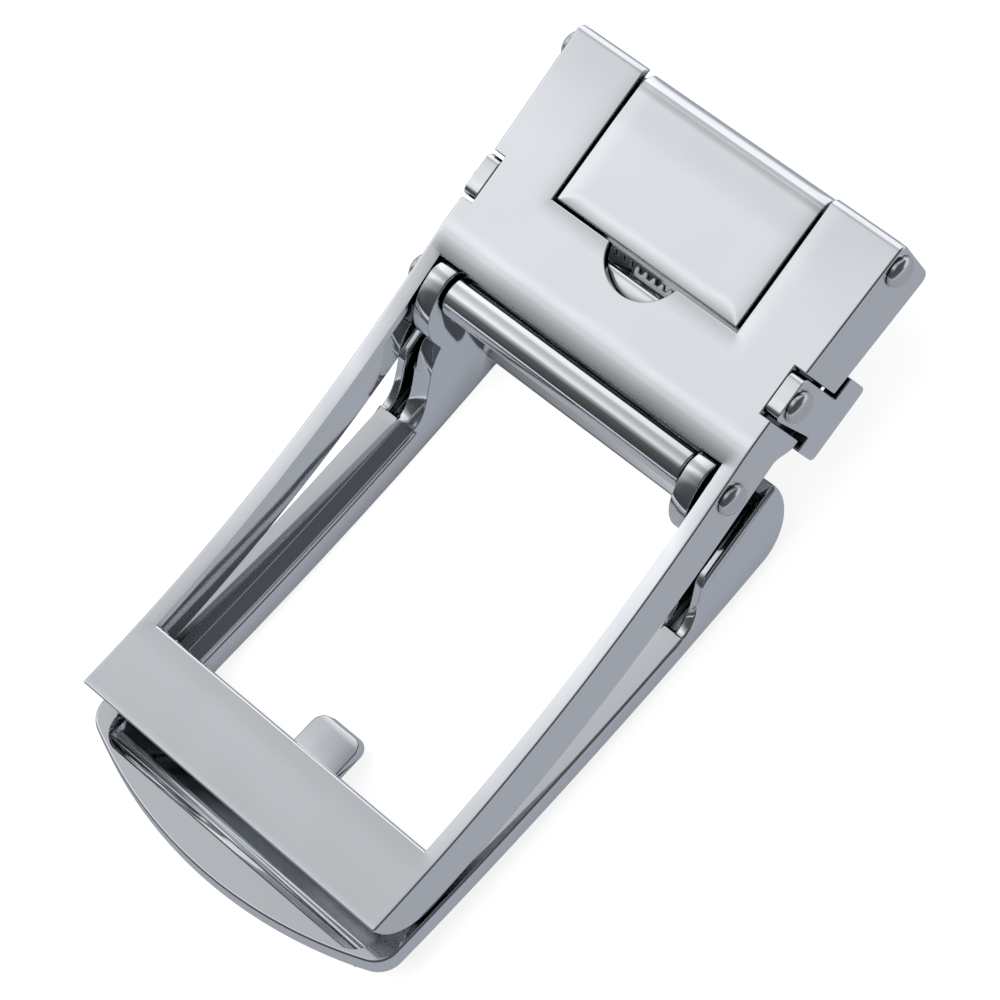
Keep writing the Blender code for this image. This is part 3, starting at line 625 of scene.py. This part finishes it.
def to_object(bm, name):
    """Put a bmesh in the scene."""
    bmesh.ops.recalc_face_normals(bm, faces=bm.faces)
    mesh = bpy.data.meshes.new(name)
    bm.to_mesh(mesh)
    bm.free()
    piece = bpy.data.objects.new(name, mesh)
    bpy.context.scene.collection.objects.link(piece)
    return piece


def apply_modifiers(piece):
    graph = bpy.context.evaluated_depsgraph_get()
    old = piece.data
    mesh = bpy.data.meshes.new_from_object(piece.evaluated_get(graph))
    piece.modifiers.clear()
    piece.data = mesh
    bpy.data.meshes.remove(old)


def combined(bm, steps):
    """Cut or join a solid with others in turn, and return it with its flat faces whole."""
    piece = to_object(bm, "work")
    tools = []
    for operation, tool in steps:
        tools.append(to_object(tool, "tool"))
        modifier = piece.modifiers.new(operation, "BOOLEAN")
        modifier.operation = operation
        modifier.solver = "EXACT"
        modifier.object = tools[-1]
    apply_modifiers(piece)
    whole = bmesh.new()
    whole.from_mesh(piece.data)
    for item in [piece] + tools:
        bpy.data.objects.remove(item)
    bmesh.ops.remove_doubles(whole, verts=whole.verts, dist=WELD)
    bmesh.ops.dissolve_limit(whole, angle_limit=radians(FLAT_ANGLE), verts=whole.verts,
                             edges=whole.edges)
    return whole


def round_edges(bm, width, segments, angle, wanted=None):
    """Bevel the edges that turn by more than an angle in degrees."""
    edges = [edge for edge in bm.edges if len(edge.link_faces) == 2
             and edge.calc_face_angle(0.0) > radians(angle) and (wanted is None or wanted(edge))]
    bmesh.ops.bevel(bm, geom=edges, offset=width, offset_type="OFFSET", segments=segments, profile=0.5,
                    affect="EDGES", clamp_overlap=False, loop_slide=True, material=-1,
                    face_strength_mode="ALL")


def sliced(bm, places, axis):
    """Cut edges across a solid at places along an axis, without parting it."""
    normal = Vector((0.0, 0.0, 0.0))
    normal[axis] = 1.0
    for place in places:
        geom = list(bm.verts) + list(bm.edges) + list(bm.faces)
        bmesh.ops.bisect_plane(bm, geom=geom, plane_co=normal * place, plane_no=normal, dist=0.00005)


def finished(bm, name, node, body, material):
    """Lay a solid in its place, smooth it, and let it stand for its node."""
    bmesh.ops.transform(bm, matrix=LYING, verts=bm.verts)
    piece = to_object(bm, name)
    piece.data.shade_smooth()
    piece.data.set_sharp_from_angle(angle=radians(SHARP_ANGLE))
    weigh = piece.modifiers.new("even_normals", "WEIGHTED_NORMAL")
    weigh.keep_sharp = True
    weigh.use_face_influence = True
    weigh.mode = "CORNER_ANGLE"
    piece.data.materials.append(material)
    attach(piece, body)
    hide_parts(node)
    return piece


# Bracket

def bracket_side():
    """Straightened side view of the bracket, with the back face on z = 0."""
    top = arc((PLATE_FRONT - PLATE_ROUND, -PLATE_ROUND), PLATE_ROUND, 0.0, 90.0, 8)
    end = [(CROSSBAR_OUTER, 0.0)]
    reach = ARM_END_START - CROSSBAR_OUTER
    for angle in stations(180.0, 270.0, 16):
        x = ARM_END_START + reach * cos(radians(angle))
        level = back_height(ARM_END_START) - back_height(x)
        end.append((x, level + ARM_DEPTH * sin(radians(angle))))
    under = [(x, -flange_depth(x)) for x in stations(STEP_END, STEP_START, 10)]
    corner = (PLATE_FRONT - MOUTH_LEAN - MOUTH_ROUND, -MOUTH_DEPTH + MOUTH_ROUND)
    return top + end + under + arc(corner, MOUTH_ROUND, 270.0, 355.0, 8)


def thumb_window():
    """Plan of the flap's window with the round thumb notch in its closed end."""
    half = FLAP_HALF_WIDTH + FLAP_SLOT
    edge = FLAP_END - FLAP_SLOT
    reach = sqrt(THUMB_RADIUS ** 2 - (THUMB_CENTRE - edge) ** 2)
    angle = degrees(pi - acos((THUMB_CENTRE - edge) / THUMB_RADIUS))
    notch = arc((THUMB_CENTRE, 0.0), THUMB_RADIUS, angle, 360.0 - angle, 28)
    notch[0] = (edge, reach)
    notch[-1] = (edge, -reach)
    return [(FAR, half), (edge, half)] + notch + [(edge, -half), (FAR, -half)]


def outside(value, low, high):
    """How far a value lies outside a range."""
    return max(low - value, value - high, 0.0)


def window_distance(x, y):
    """Distance from the nearer window in the sheet, seen from the back."""
    flap_edge = (FLAP_END - FLAP_SLOT, FLAP_HALF_WIDTH + FLAP_SLOT)
    arm_edge = HALF_WIDTH - ARM_LIP
    to_flap = sqrt(outside(x, flap_edge[0], FAR) ** 2 + outside(y, -flap_edge[1], flap_edge[1]) ** 2)
    to_arm = sqrt(outside(x, CROSSBAR_INNER, PLATE_BACK) ** 2 + outside(y, -arm_edge, arm_edge) ** 2)
    return min(to_flap, to_arm)


def is_fold(edge):
    """Whether an edge runs round a side of the stamping, or is the upper edge of its free end."""
    first, second = (vertex.co for vertex in edge.verts)
    at_end = max(first.x, second.x) < CROSSBAR_OUTER + NEAR and min(first.z, second.z) > -NEAR
    return at_end or first.y * second.y > 0.0


def make_bracket(metal):
    """The stamped back plate with its side walls, arms and crossbar."""
    bm = prism(bracket_side(), -HALF_WIDTH, HALF_WIDTH)
    bm.normal_update()
    round_edges(bm, FOLD_ROUND, FOLD_STEPS, FOLD_ANGLE, is_fold)
    inner = HALF_WIDTH - FLANGE
    channel = [(FAR, -SHEET), (FACE_END, -SHEET), (FACE_END, -3.0 * FAR), (FLOOR_BACK, -3.0 * FAR),
               (FLOOR_BACK, FLOOR_TOP), (FAR, FLOOR_TOP)]
    arm_edge = HALF_WIDTH - ARM_LIP
    rod_place = (HINGE_ROD[0], HINGE_ROD[1] - back_height(HINGE_ROD[0]))
    steps = [("DIFFERENCE", prism(channel, -inner, inner)),
             ("DIFFERENCE", block((CROSSBAR_INNER, -arm_edge, -FAR), (PLATE_BACK, arm_edge, FAR))),
             ("DIFFERENCE", prism(thumb_window(), -2.0, FAR, "z"))]
    for side in (1.0, -1.0):
        low, high = sorted(((HALF_WIDTH - NOTCH_DEPTH) * side, (HALF_WIDTH + 2.0) * side))
        steps.append(("DIFFERENCE", block((NOTCH_BACK, low, -FAR), (NOTCH_FRONT, high, FAR))))
    steps.append(("DIFFERENCE", rod(CLAMP_PIN, CLAMP_PIN_RADIUS + BORE_GAP, 2.0 * FAR)))
    steps.append(("DIFFERENCE", rod(rod_place, HINGE_ROD_RADIUS + BORE_GAP, 2.0 * FAR)))
    lug = [(LEVER_PIN[0] + LUG_RADIUS, -SHEET / 2.0), (LEVER_PIN[0] - LUG_RADIUS, -SHEET / 2.0)]
    lug += arc(LEVER_PIN, LUG_RADIUS, 180.0, 360.0, 16)
    for side in (1.0, -1.0):
        steps.append(("UNION", side_prism(lug, LUG_INNER, LUG_INNER + LUG_THICK, side)))
    steps.append(("DIFFERENCE", rod(LEVER_PIN, LEVER_PIN_RADIUS + BORE_GAP, LUG_INNER + 2.0)))
    bm = combined(bm, steps)
    round_edges(bm, EDGE_ROUND, EDGE_STEPS, STAMPED_ANGLE)

    flap_edge = (FLAP_END - FLAP_SLOT, FLAP_HALF_WIDTH + FLAP_SLOT)
    across = [side * (edge + step) for side in (1.0, -1.0) for edge in (flap_edge[1], arm_edge)
              for step in ROLL_STEPS]
    along = [flap_edge[0] - step for step in ROLL_STEPS] + [PLATE_BACK + step for step in ROLL_STEPS]
    along += [CROSSBAR_INNER - step for step in ROLL_STEPS] + [SPLAY_START]
    along += stations(BACK_FLAT, CROSSBAR_OUTER, SLICE_COUNT)[:-1]
    sliced(bm, along, 0)
    sliced(bm, across, 1)
    for vertex in bm.verts:
        x, y, z = vertex.co
        if z > -SHEET - ROLL_FLOOR:
            share = 1.0 - min(window_distance(x, y) / ROLL_REACH, 1.0)
            vertex.co.z -= ROLL_DEPTH * share ** 3
        if abs(y) > inner - EDGE_ROUND:
            share = max(x - SPLAY_START, 0.0) / (PLATE_FRONT - SPLAY_START)
            vertex.co.y += MOUTH_SPLAY * share * (1.0 if y > 0.0 else -1.0)
        vertex.co.z += back_height(x)
    return finished(bm, "back_bracket", "bracket", "bracket_body", metal)


# Clamp flap

def make_clamp_flap(metal):
    """The flap that clamps the strap: plate, curl round its pin, and the toothed lip."""
    outer = arc(CLAMP_PIN, CURL_RADIUS, 90.0, -180.0, 36)
    inner = arc(CLAMP_PIN, CLAMP_PIN_RADIUS + BORE_GAP, -180.0, 110.0, 36)
    under = [(CLAMP_PIN[0] - CURL_RADIUS, -SHEET), (FLAP_END + SHEET, -SHEET),
             (FLAP_END + SHEET, -TOOTH_ROOT), (FLAP_END, -TOOTH_ROOT)]
    side = [(FLAP_END, 0.0)] + outer + inner + under
    half = FLAP_HALF_WIDTH / TOOTH_COUNT
    thin = (FLAP_END + TOOTH_INSET * SHEET, FLAP_END + (1.0 - TOOTH_INSET) * SHEET)
    root, point = -TOOTH_SINK * TOOTH_ROOT, -TOOTH_ROOT - TOOTH_HEIGHT
    steps = []
    for number in range(TOOTH_COUNT):
        centre = -FLAP_HALF_WIDTH + half * (2 * number + 1)
        tooth = prism([(thin[0], root), (thin[1], root), (thin[1], point), (thin[0], point)],
                      centre - TOOTH_WIDTH * half, centre + TOOTH_WIDTH * half)
        for vertex in tooth.verts:
            if vertex.co.z < (root + point) / 2.0:
                vertex.co.y = centre + TOOTH_POINT * (vertex.co.y - centre)
        steps.append(("UNION", tooth))
    bm = combined(prism(side, -FLAP_HALF_WIDTH, FLAP_HALF_WIDTH), steps)
    round_edges(bm, EDGE_ROUND, EDGE_STEPS, STAMPED_ANGLE)
    curl_start = CLAMP_PIN[0] - CURL_RUN
    sliced(bm, stations(curl_start, CLAMP_PIN[0] + CURL_SLICED, 16), 0)
    sliced(bm, [FLAP_END + step for step in ROLL_STEPS], 0)
    sliced(bm, [place * (FLAP_HALF_WIDTH - step) for place in (1.0, -1.0) for step in ROLL_STEPS], 1)
    for vertex in bm.verts:
        x, y, z = vertex.co
        if z > -SHEET - FLAP_ROLL_FLOOR:
            edge = min(FLAP_HALF_WIDTH - abs(y), x - FLAP_END)
            share = 1.0 - min(max(edge, 0.0) / ROLL_REACH, 1.0)
            dip = CURL_DIP * smooth(curl_start, CLAMP_PIN[0] + CURL_DIP_END, x)
            vertex.co.z -= ROLL_DEPTH * share ** 3 + (dip if z > -FLAP_TOP_DEPTH else 0.0)
    return finished(bm, "strap_clamp_flap", "clamp_flap", "flap_body", metal)


# Pins and tube

def pin_head(base, wall, rise):
    """Profile of a button head: a flat dome, a soft corner and a short straight wall."""
    dome = [(HEAD_RADIUS * sin(radians(turn)), base + wall + (rise - wall) * cos(radians(turn)))
            for turn in stations(0.0, 90.0, 14)]
    return dome + [(HEAD_RADIUS, base)]


def make_pin(name, node, axis, radius, seat, left, metal):
    """A plain pin with a head at each end, the left one as given."""
    upper = pin_head(seat, *left) + [(radius, seat)]
    right = pin_head(seat, HEAD_WALL, HEAD_RISE) + [(radius, seat)]
    profile = upper + [(distance, -along) for distance, along in reversed(right)]
    return finished(turned(profile, axis), name, node, "bracket_body", metal)


def make_tube(metal):
    """The loose tube on the hinge rod."""
    half = WINDOW_HALF_WIDTH - BORE_GAP
    quarter = arc((TUBE_RADIUS - TUBE_ROUND, half - TUBE_ROUND), TUBE_ROUND, 90.0, 0.0, 4)
    other = [(distance, -along) for distance, along in reversed(quarter)]
    profile = [(TUBE_BORE, half)] + quarter + other + [(TUBE_BORE, -half), (TUBE_BORE, half)]
    return finished(turned(profile, HINGE_ROD), "hinge_tube", "spacer_tube", "bracket_body",
                    metal)


# Release lever

def cheek_side(with_foot):
    """Side view of a cheek: round-cornered head in the notch, and the thumb foot on one of them."""
    head = arc((CHEEK_FRONT - CHEEK_ROUND, -CHEEK_ROUND), CHEEK_ROUND, 0.0, 90.0, 6)
    head += arc((CHEEK_BACK + CHEEK_ROUND, -CHEEK_ROUND), CHEEK_ROUND, 90.0, 180.0, 6)
    if not with_foot:
        return head + [(CHEEK_FOOT_BACK, -CHEEK_DEPTH), (CHEEK_FRONT, -CHEEK_DEPTH)]
    foot = [(CHEEK_FOOT_BACK, FOOT_TOP), (FOOT_BACK, FOOT_TOP)]
    foot += arc((FOOT_BACK + FOOT_ROUND, FOOT_BOTTOM + FOOT_ROUND), FOOT_ROUND, 180.0, 270.0, 6)
    foot += arc((FOOT_FRONT - FOOT_ROUND, FOOT_BOTTOM + FOOT_ROUND), FOOT_ROUND, 270.0, 360.0, 6)
    return head + foot + [(FOOT_FRONT, FOOT_TOP), (CHEEK_FRONT, FOOT_TOP)]


def barrel_side():
    """Side view of the sheet barrel that the lever's middle turns on, seen in the thumb notch."""
    radius = BARREL_TOP - LEVER_PIN[1]
    curl = arc(LEVER_PIN, radius, 90.0, 0.0, 8)
    back = CHEEK_BACK + BORE_GAP
    foot = WEB_TOP - BORE_GAP
    return [(back, BARREL_BACK_TOP)] + curl + [(LEVER_PIN[0] + radius, foot), (back, foot)]


def comb_plan():
    """Plan of the web's toothed front edge."""
    points = [(WEB_FRONT - BORE_GAP, -0.5 * COMB_TEETH * COMB_PITCH)]
    for number in range(COMB_TEETH):
        start = (number - 0.5 * COMB_TEETH) * COMB_PITCH
        points += [(x, start + share * COMB_PITCH) for x, share in COMB_TOOTH]
    return points + [(WEB_FRONT - BORE_GAP, 0.5 * COMB_TEETH * COMB_PITCH)]


def make_release_lever(metal):
    """Two cheeks in the side notches, the thumb foot, the barrel, and the web with its pawl edge."""
    back = CHEEK_BACK + BORE_GAP
    web = [(WEB_FRONT, WEB_TOP), (back, WEB_TOP), (back, WEB_BOTTOM), (WEB_FRONT, WEB_BOTTOM)]
    root = WEB_BOTTOM + BORE_GAP
    pawl = [(WEB_FRONT - PAWL_SET_BACK, root), (back + BORE_GAP, root), (back, PAWL_TIP),
            (back + 2.0 * BORE_GAP, PAWL_TIP)]
    steps = [("UNION", side_prism(cheek_side(side < 0.0), CHEEK_INNER, CHEEK_OUTER, side))
             for side in (-1.0, 1.0)]
    steps.append(("UNION", prism(pawl, -PAWL_HALF_WIDTH, PAWL_HALF_WIDTH)))
    shield = [(SHIELD_FRONT, SHIELD_TOP), (SHIELD_BACK, SHIELD_TOP), (SHIELD_BACK, SHIELD_BOTTOM),
              (SHIELD_STEP, SHIELD_BOTTOM), (SHIELD_STEP, SHIELD_FLOOR), (SHIELD_FRONT, SHIELD_FLOOR)]
    steps += [("UNION", side_prism(shield, SHIELD_INNER, SHIELD_OUTER, side)) for side in (-1.0, 1.0)]
    steps.append(("DIFFERENCE", rod(LEVER_PIN, LEVER_PIN_RADIUS + BORE_GAP, 2.0 * FAR)))
    steps.append(("UNION", prism(barrel_side(), -BARREL_HALF_WIDTH, BARREL_HALF_WIDTH)))
    steps.append(("UNION", prism(comb_plan(), WEB_BOTTOM + BORE_GAP, WEB_TOP - BORE_GAP, "z")))
    steps.append(("DIFFERENCE", rod(LEVER_PIN, LEVER_PIN_RADIUS + BARREL_GAP, BARREL_HALF_WIDTH + 1.0)))
    bm = combined(prism(web, -CHEEK_INNER - BORE_GAP, CHEEK_INNER + BORE_GAP), steps)
    round_edges(bm, EDGE_ROUND, EDGE_STEPS, STAMPED_ANGLE)
    return finished(bm, "thumb_lever", "release_lever", "lever_body", metal)


# Front frame

def frame_side(share):
    """Side view of the frame's casting, with its face lowered by a share of the crown."""
    nose = [(x, face_height(x) - share * crown(x)) for x in
            (FACE_START + NOSE_LENGTH * sin(radians(turn)) for turn in stations(90.0, 0.0, 16))]
    face = [(x, face_height(x) - share * crown(x))
            for x in stations(FACE_START, FACE_END, FACE_STATIONS)[1:]]
    rim = [(x, face_height(x) + RIM_DEPTH) for x in RIM_PLACES]
    foot = EAR_BULGE_CENTRE[0] - EAR_BULGE_RADIUS
    wall = [(x, inner_wall_height(x)) for x in stations(LOBE_FADE_START, foot, 14)[1:]]
    bulge = arc(EAR_BULGE_CENTRE, EAR_BULGE_RADIUS, 180.0, 95.0, 16)
    return nose + face + rim + wall + bulge + arc(HINGE_ROD, EAR_RADIUS, 85.0, 0.0, 14)


def frame_plan(level):
    """Plan of the frame at a height: straight sides and a bowed end, which leans out below."""
    centre = END_APEX + END_RADIUS + END_LEAN * level
    across = FRAME_HALF_WIDTH - END_CORNER
    along = centre - sqrt((END_RADIUS - END_CORNER) ** 2 - across ** 2)
    lean = pi - asin(across / (END_RADIUS - END_CORNER))
    corner = arc((along, across), END_CORNER, 90.0, degrees(lean), 10)
    bow = arc((centre, 0.0), END_RADIUS, degrees(lean), 360.0 - degrees(lean), 36)[1:-1]
    mirrored = [(x, -y) for x, y in reversed(corner)]
    return [(FAR, FRAME_HALF_WIDTH)] + corner + bow + mirrored + [(FAR, -FRAME_HALF_WIDTH)]


def on_outline(point):
    """Whether a point lies on the frame's outer wall."""
    centre = END_APEX + END_RADIUS + END_LEAN * point.z
    across = FRAME_HALF_WIDTH - END_CORNER
    along = centre - sqrt((END_RADIUS - END_CORNER) ** 2 - across ** 2)
    in_corner = point.x < along and abs(point.y) > across
    on_bow = hypot(point.x - centre, point.y) > END_RADIUS - CURVE_NEAR and abs(point.y) < across + 2.0
    on_corner = in_corner and hypot(point.x - along, abs(point.y) - across) > END_CORNER - CURVE_NEAR
    return abs(point.y) > FRAME_HALF_WIDTH - SIDE_NEAR or on_bow or on_corner


def in_pocket(point):
    """Whether a point lies in the end bar's pocket, whose steps stay crisp."""
    along = POCKET_OUTER < point.x + POCKET_SPARE < POCKET_INNER
    return along and abs(point.y) < POCKET_HALF_WIDTH + NEAR


def both_ends(edge, inside):
    """Whether both ends of an edge pass a test."""
    return all(inside(end.co) for end in edge.verts)


def above_rim():
    """Everything above the lobe beside the ear, seen from the side."""
    start = LOBE_FADE_START + 0.02
    edge = [(x, rim_height(x)) for x in stations(start, LOBE_FADE_END, 20)]
    return edge + [(FAR, LOBE_TOP), (FAR, FAR), (start, FAR)]


def recess(depth, places):
    """A slice above the rim line lowered by depth, over places along the belt."""
    floor = [(x, face_height(x) + RIM_DEPTH - depth) for x in places]
    return floor + [(places[-1], FAR), (places[0], FAR)]


def lobe_floor(x):
    """Height of the hollow's floor in the lobe, which rises to a shelf beside the ear."""
    low = max(face_height(x), FACE_LEVEL) + LOBE_FLOOR
    return low + (LOBE_TOP - LOBE_SHELF - low) * smooth(SHELF_FOOT, SHELF_START, x)


def lobe_hollow():
    """The hollow between the lobe's outer wall and the ear's wall."""
    front = FACE_START + NOSE_LENGTH - LOBE_NOSE_WALL
    floor = [(x, lobe_floor(x)) for x in stations(LOBE_FADE_START, SHELF_FOOT, 16)]
    floor += [(x, lobe_floor(x)) for x in stations(SHELF_FOOT, SHELF_START, 12)[1:]]
    floor.append((front, lobe_floor(front)))
    return floor + [(front, FAR), (LOBE_FADE_START, FAR)]


def end_pocket():
    """The pocket sunk in the end bar, with its two outer corners rounded."""
    side = [(POCKET_OUTER + along, face_height(POCKET_OUTER + along) + RIM_DEPTH - depth)
            for along, depth in POCKET_STEPS]
    side += [(POCKET_INNER, FAR), (side[0][0], FAR)]
    across = POCKET_HALF_WIDTH - POCKET_CORNER
    left = arc((side[0][0] + POCKET_CORNER, across), POCKET_CORNER, 90.0, 180.0, 10)
    right = [(x, -y) for x, y in reversed(left)]
    plan = [(0.0, POCKET_HALF_WIDTH)] + left + right + [(0.0, -POCKET_HALF_WIDTH)]
    return combined(prism(side, -FRAME_HALF_WIDTH, FRAME_HALF_WIDTH),
                    [("INTERSECT", prism(plan, -2.0 * FAR, 0.9 * FAR, "z"))])


def tongue_plan():
    """Plan of the small round-cornered tongue on the end bar."""
    side = TONGUE_HALF_WIDTH - TONGUE_CORNER
    upper = arc((TONGUE_TIP - TONGUE_CORNER, side), TONGUE_CORNER, 90.0, 0.0, 10)
    root = WINDOW_END - 1.0
    lower = [(x, -y) for x, y in reversed(upper)]
    return [(root, TONGUE_HALF_WIDTH)] + upper + lower + [(root, -TONGUE_HALF_WIDTH)]


def tongue():
    """The tongue, leaning with the end bar."""
    bm = prism(tongue_plan(), TONGUE_TOP - TONGUE_THICK, TONGUE_TOP, "z")
    for vertex in bm.verts:
        vertex.co.z -= TONGUE_LEAN * (vertex.co.x - TONGUE_TIP + TONGUE_REACH)
    return bm


def make_front_frame(metal):
    """The cast open frame with its ears, lobes, end pocket and tongue."""
    rows = [(-y, share) for y, share in CROWN_SHARES]
    rows += [(y, share) for y, share in reversed(CROWN_SHARES)]
    bm = bridged([[(x, y, z) for x, z in frame_side(share)] for y, share in rows])
    plan = bridged([[(x, y, level) for x, y in frame_plan(level)] for level in (-2.0 * FAR, FAR / 2.0)])
    window = WINDOW_HALF_WIDTH
    steps = [("INTERSECT", plan)]
    for side in (1.0, -1.0):
        above = side_prism(above_rim(), window + EAR_THICK, 2.0 * FRAME_HALF_WIDTH, side)
        hollow = side_prism(lobe_hollow(), LOBE_INNER, FRAME_HALF_WIDTH - LOBE_WALL, side)
        steps += [("DIFFERENCE", above), ("DIFFERENCE", hollow)]
    steps.append(("DIFFERENCE", block((WINDOW_END, -window, -3.0 * FAR), (WINDOW_HINGE, window, FAR))))
    bar_top = FACE_LEVEL + RIM_DEPTH - LEDGE_DEPTH
    above_bar = [(WINDOW_HINGE - 1.0, bar_top), (BAR_FLAT_END, bar_top), BAR_LIP_FOOT,
                 (BAR_LIP_INNER, LOBE_TOP), (BAR_LIP_INNER, FAR), (WINDOW_HINGE - 1.0, FAR)]
    steps.append(("DIFFERENCE", prism(above_bar, -window, window)))
    steps.append(("DIFFERENCE", block((BAR_LIP_INNER - 1.0, -window, LOBE_TOP), (FAR, window, FAR))))
    past = LEDGE_OUTER + LEDGE_SPARE
    rise = LEDGE_SPARE * LEDGE_DEPTH / (LEDGE_OUTER - LEDGE_INNER)
    places = [x for x in RIM_PLACES if x > POCKET_INNER - BORE_GAP]
    brink = recess(-rise, places)
    ledge = recess(LEDGE_DEPTH, places)
    sunk = bridged([[(x, y, z) for x, z in side] for y, side in (
        (-past, brink), (-LEDGE_INNER, ledge), (LEDGE_INNER, ledge), (past, brink))])
    steps += [("DIFFERENCE", sunk), ("DIFFERENCE", end_pocket()),
              ("DIFFERENCE", rod(HINGE_ROD, HINGE_ROD_RADIUS + BORE_GAP, FRAME_HALF_WIDTH)),
              ("UNION", tongue())]
    bm = combined(bm, steps)
    round_edges(bm, CAST_ROUND, EDGE_STEPS, CAST_ANGLE, lambda edge: not both_ends(edge, on_outline)
                and not both_ends(edge, in_pocket))
    round_edges(bm, RIM_ROUND, RIM_ROUND_STEPS, CAST_ANGLE, lambda edge: both_ends(edge, on_outline))
    return finished(bm, "cast_front_frame", "front_frame", "frame_body", metal)


def main():
    scene = bpy.context.scene
    scene.view_settings.view_transform = "Standard"
    make_camera()
    make_world()
    make_floor()
    make_light("overhead", LAMP_PLACE, LAMP_SIZE, LAMP_POWER)
    sheet = make_chrome("chrome_sheet", *SHEET_CHROME)
    casting = make_chrome("chrome_casting", *CASTING_CHROME)
    steel = make_chrome("polished_steel", *PIN_STEEL)
    make_bracket(sheet)
    make_clamp_flap(sheet)
    mouth_wall = HALF_WIDTH + MOUTH_SPLAY
    raised = (HEAD_WALL, HEAD_RISE)
    make_pin("flap_pin", "clamp_pin", CLAMP_PIN, CLAMP_PIN_RADIUS, mouth_wall, raised, steel)
    make_pin("thumb_lever_pin", "lever_pin", LEVER_PIN, LEVER_PIN_RADIUS, CHEEK_OUTER + SEAT,
             (0.0, FLUSH_RISE), steel)
    make_pin("frame_rod", "hinge_rod", HINGE_ROD, HINGE_ROD_RADIUS, HALF_WIDTH + SEAT, raised, steel)
    make_tube(sheet)
    make_release_lever(sheet)
    make_front_frame(casting)


main()
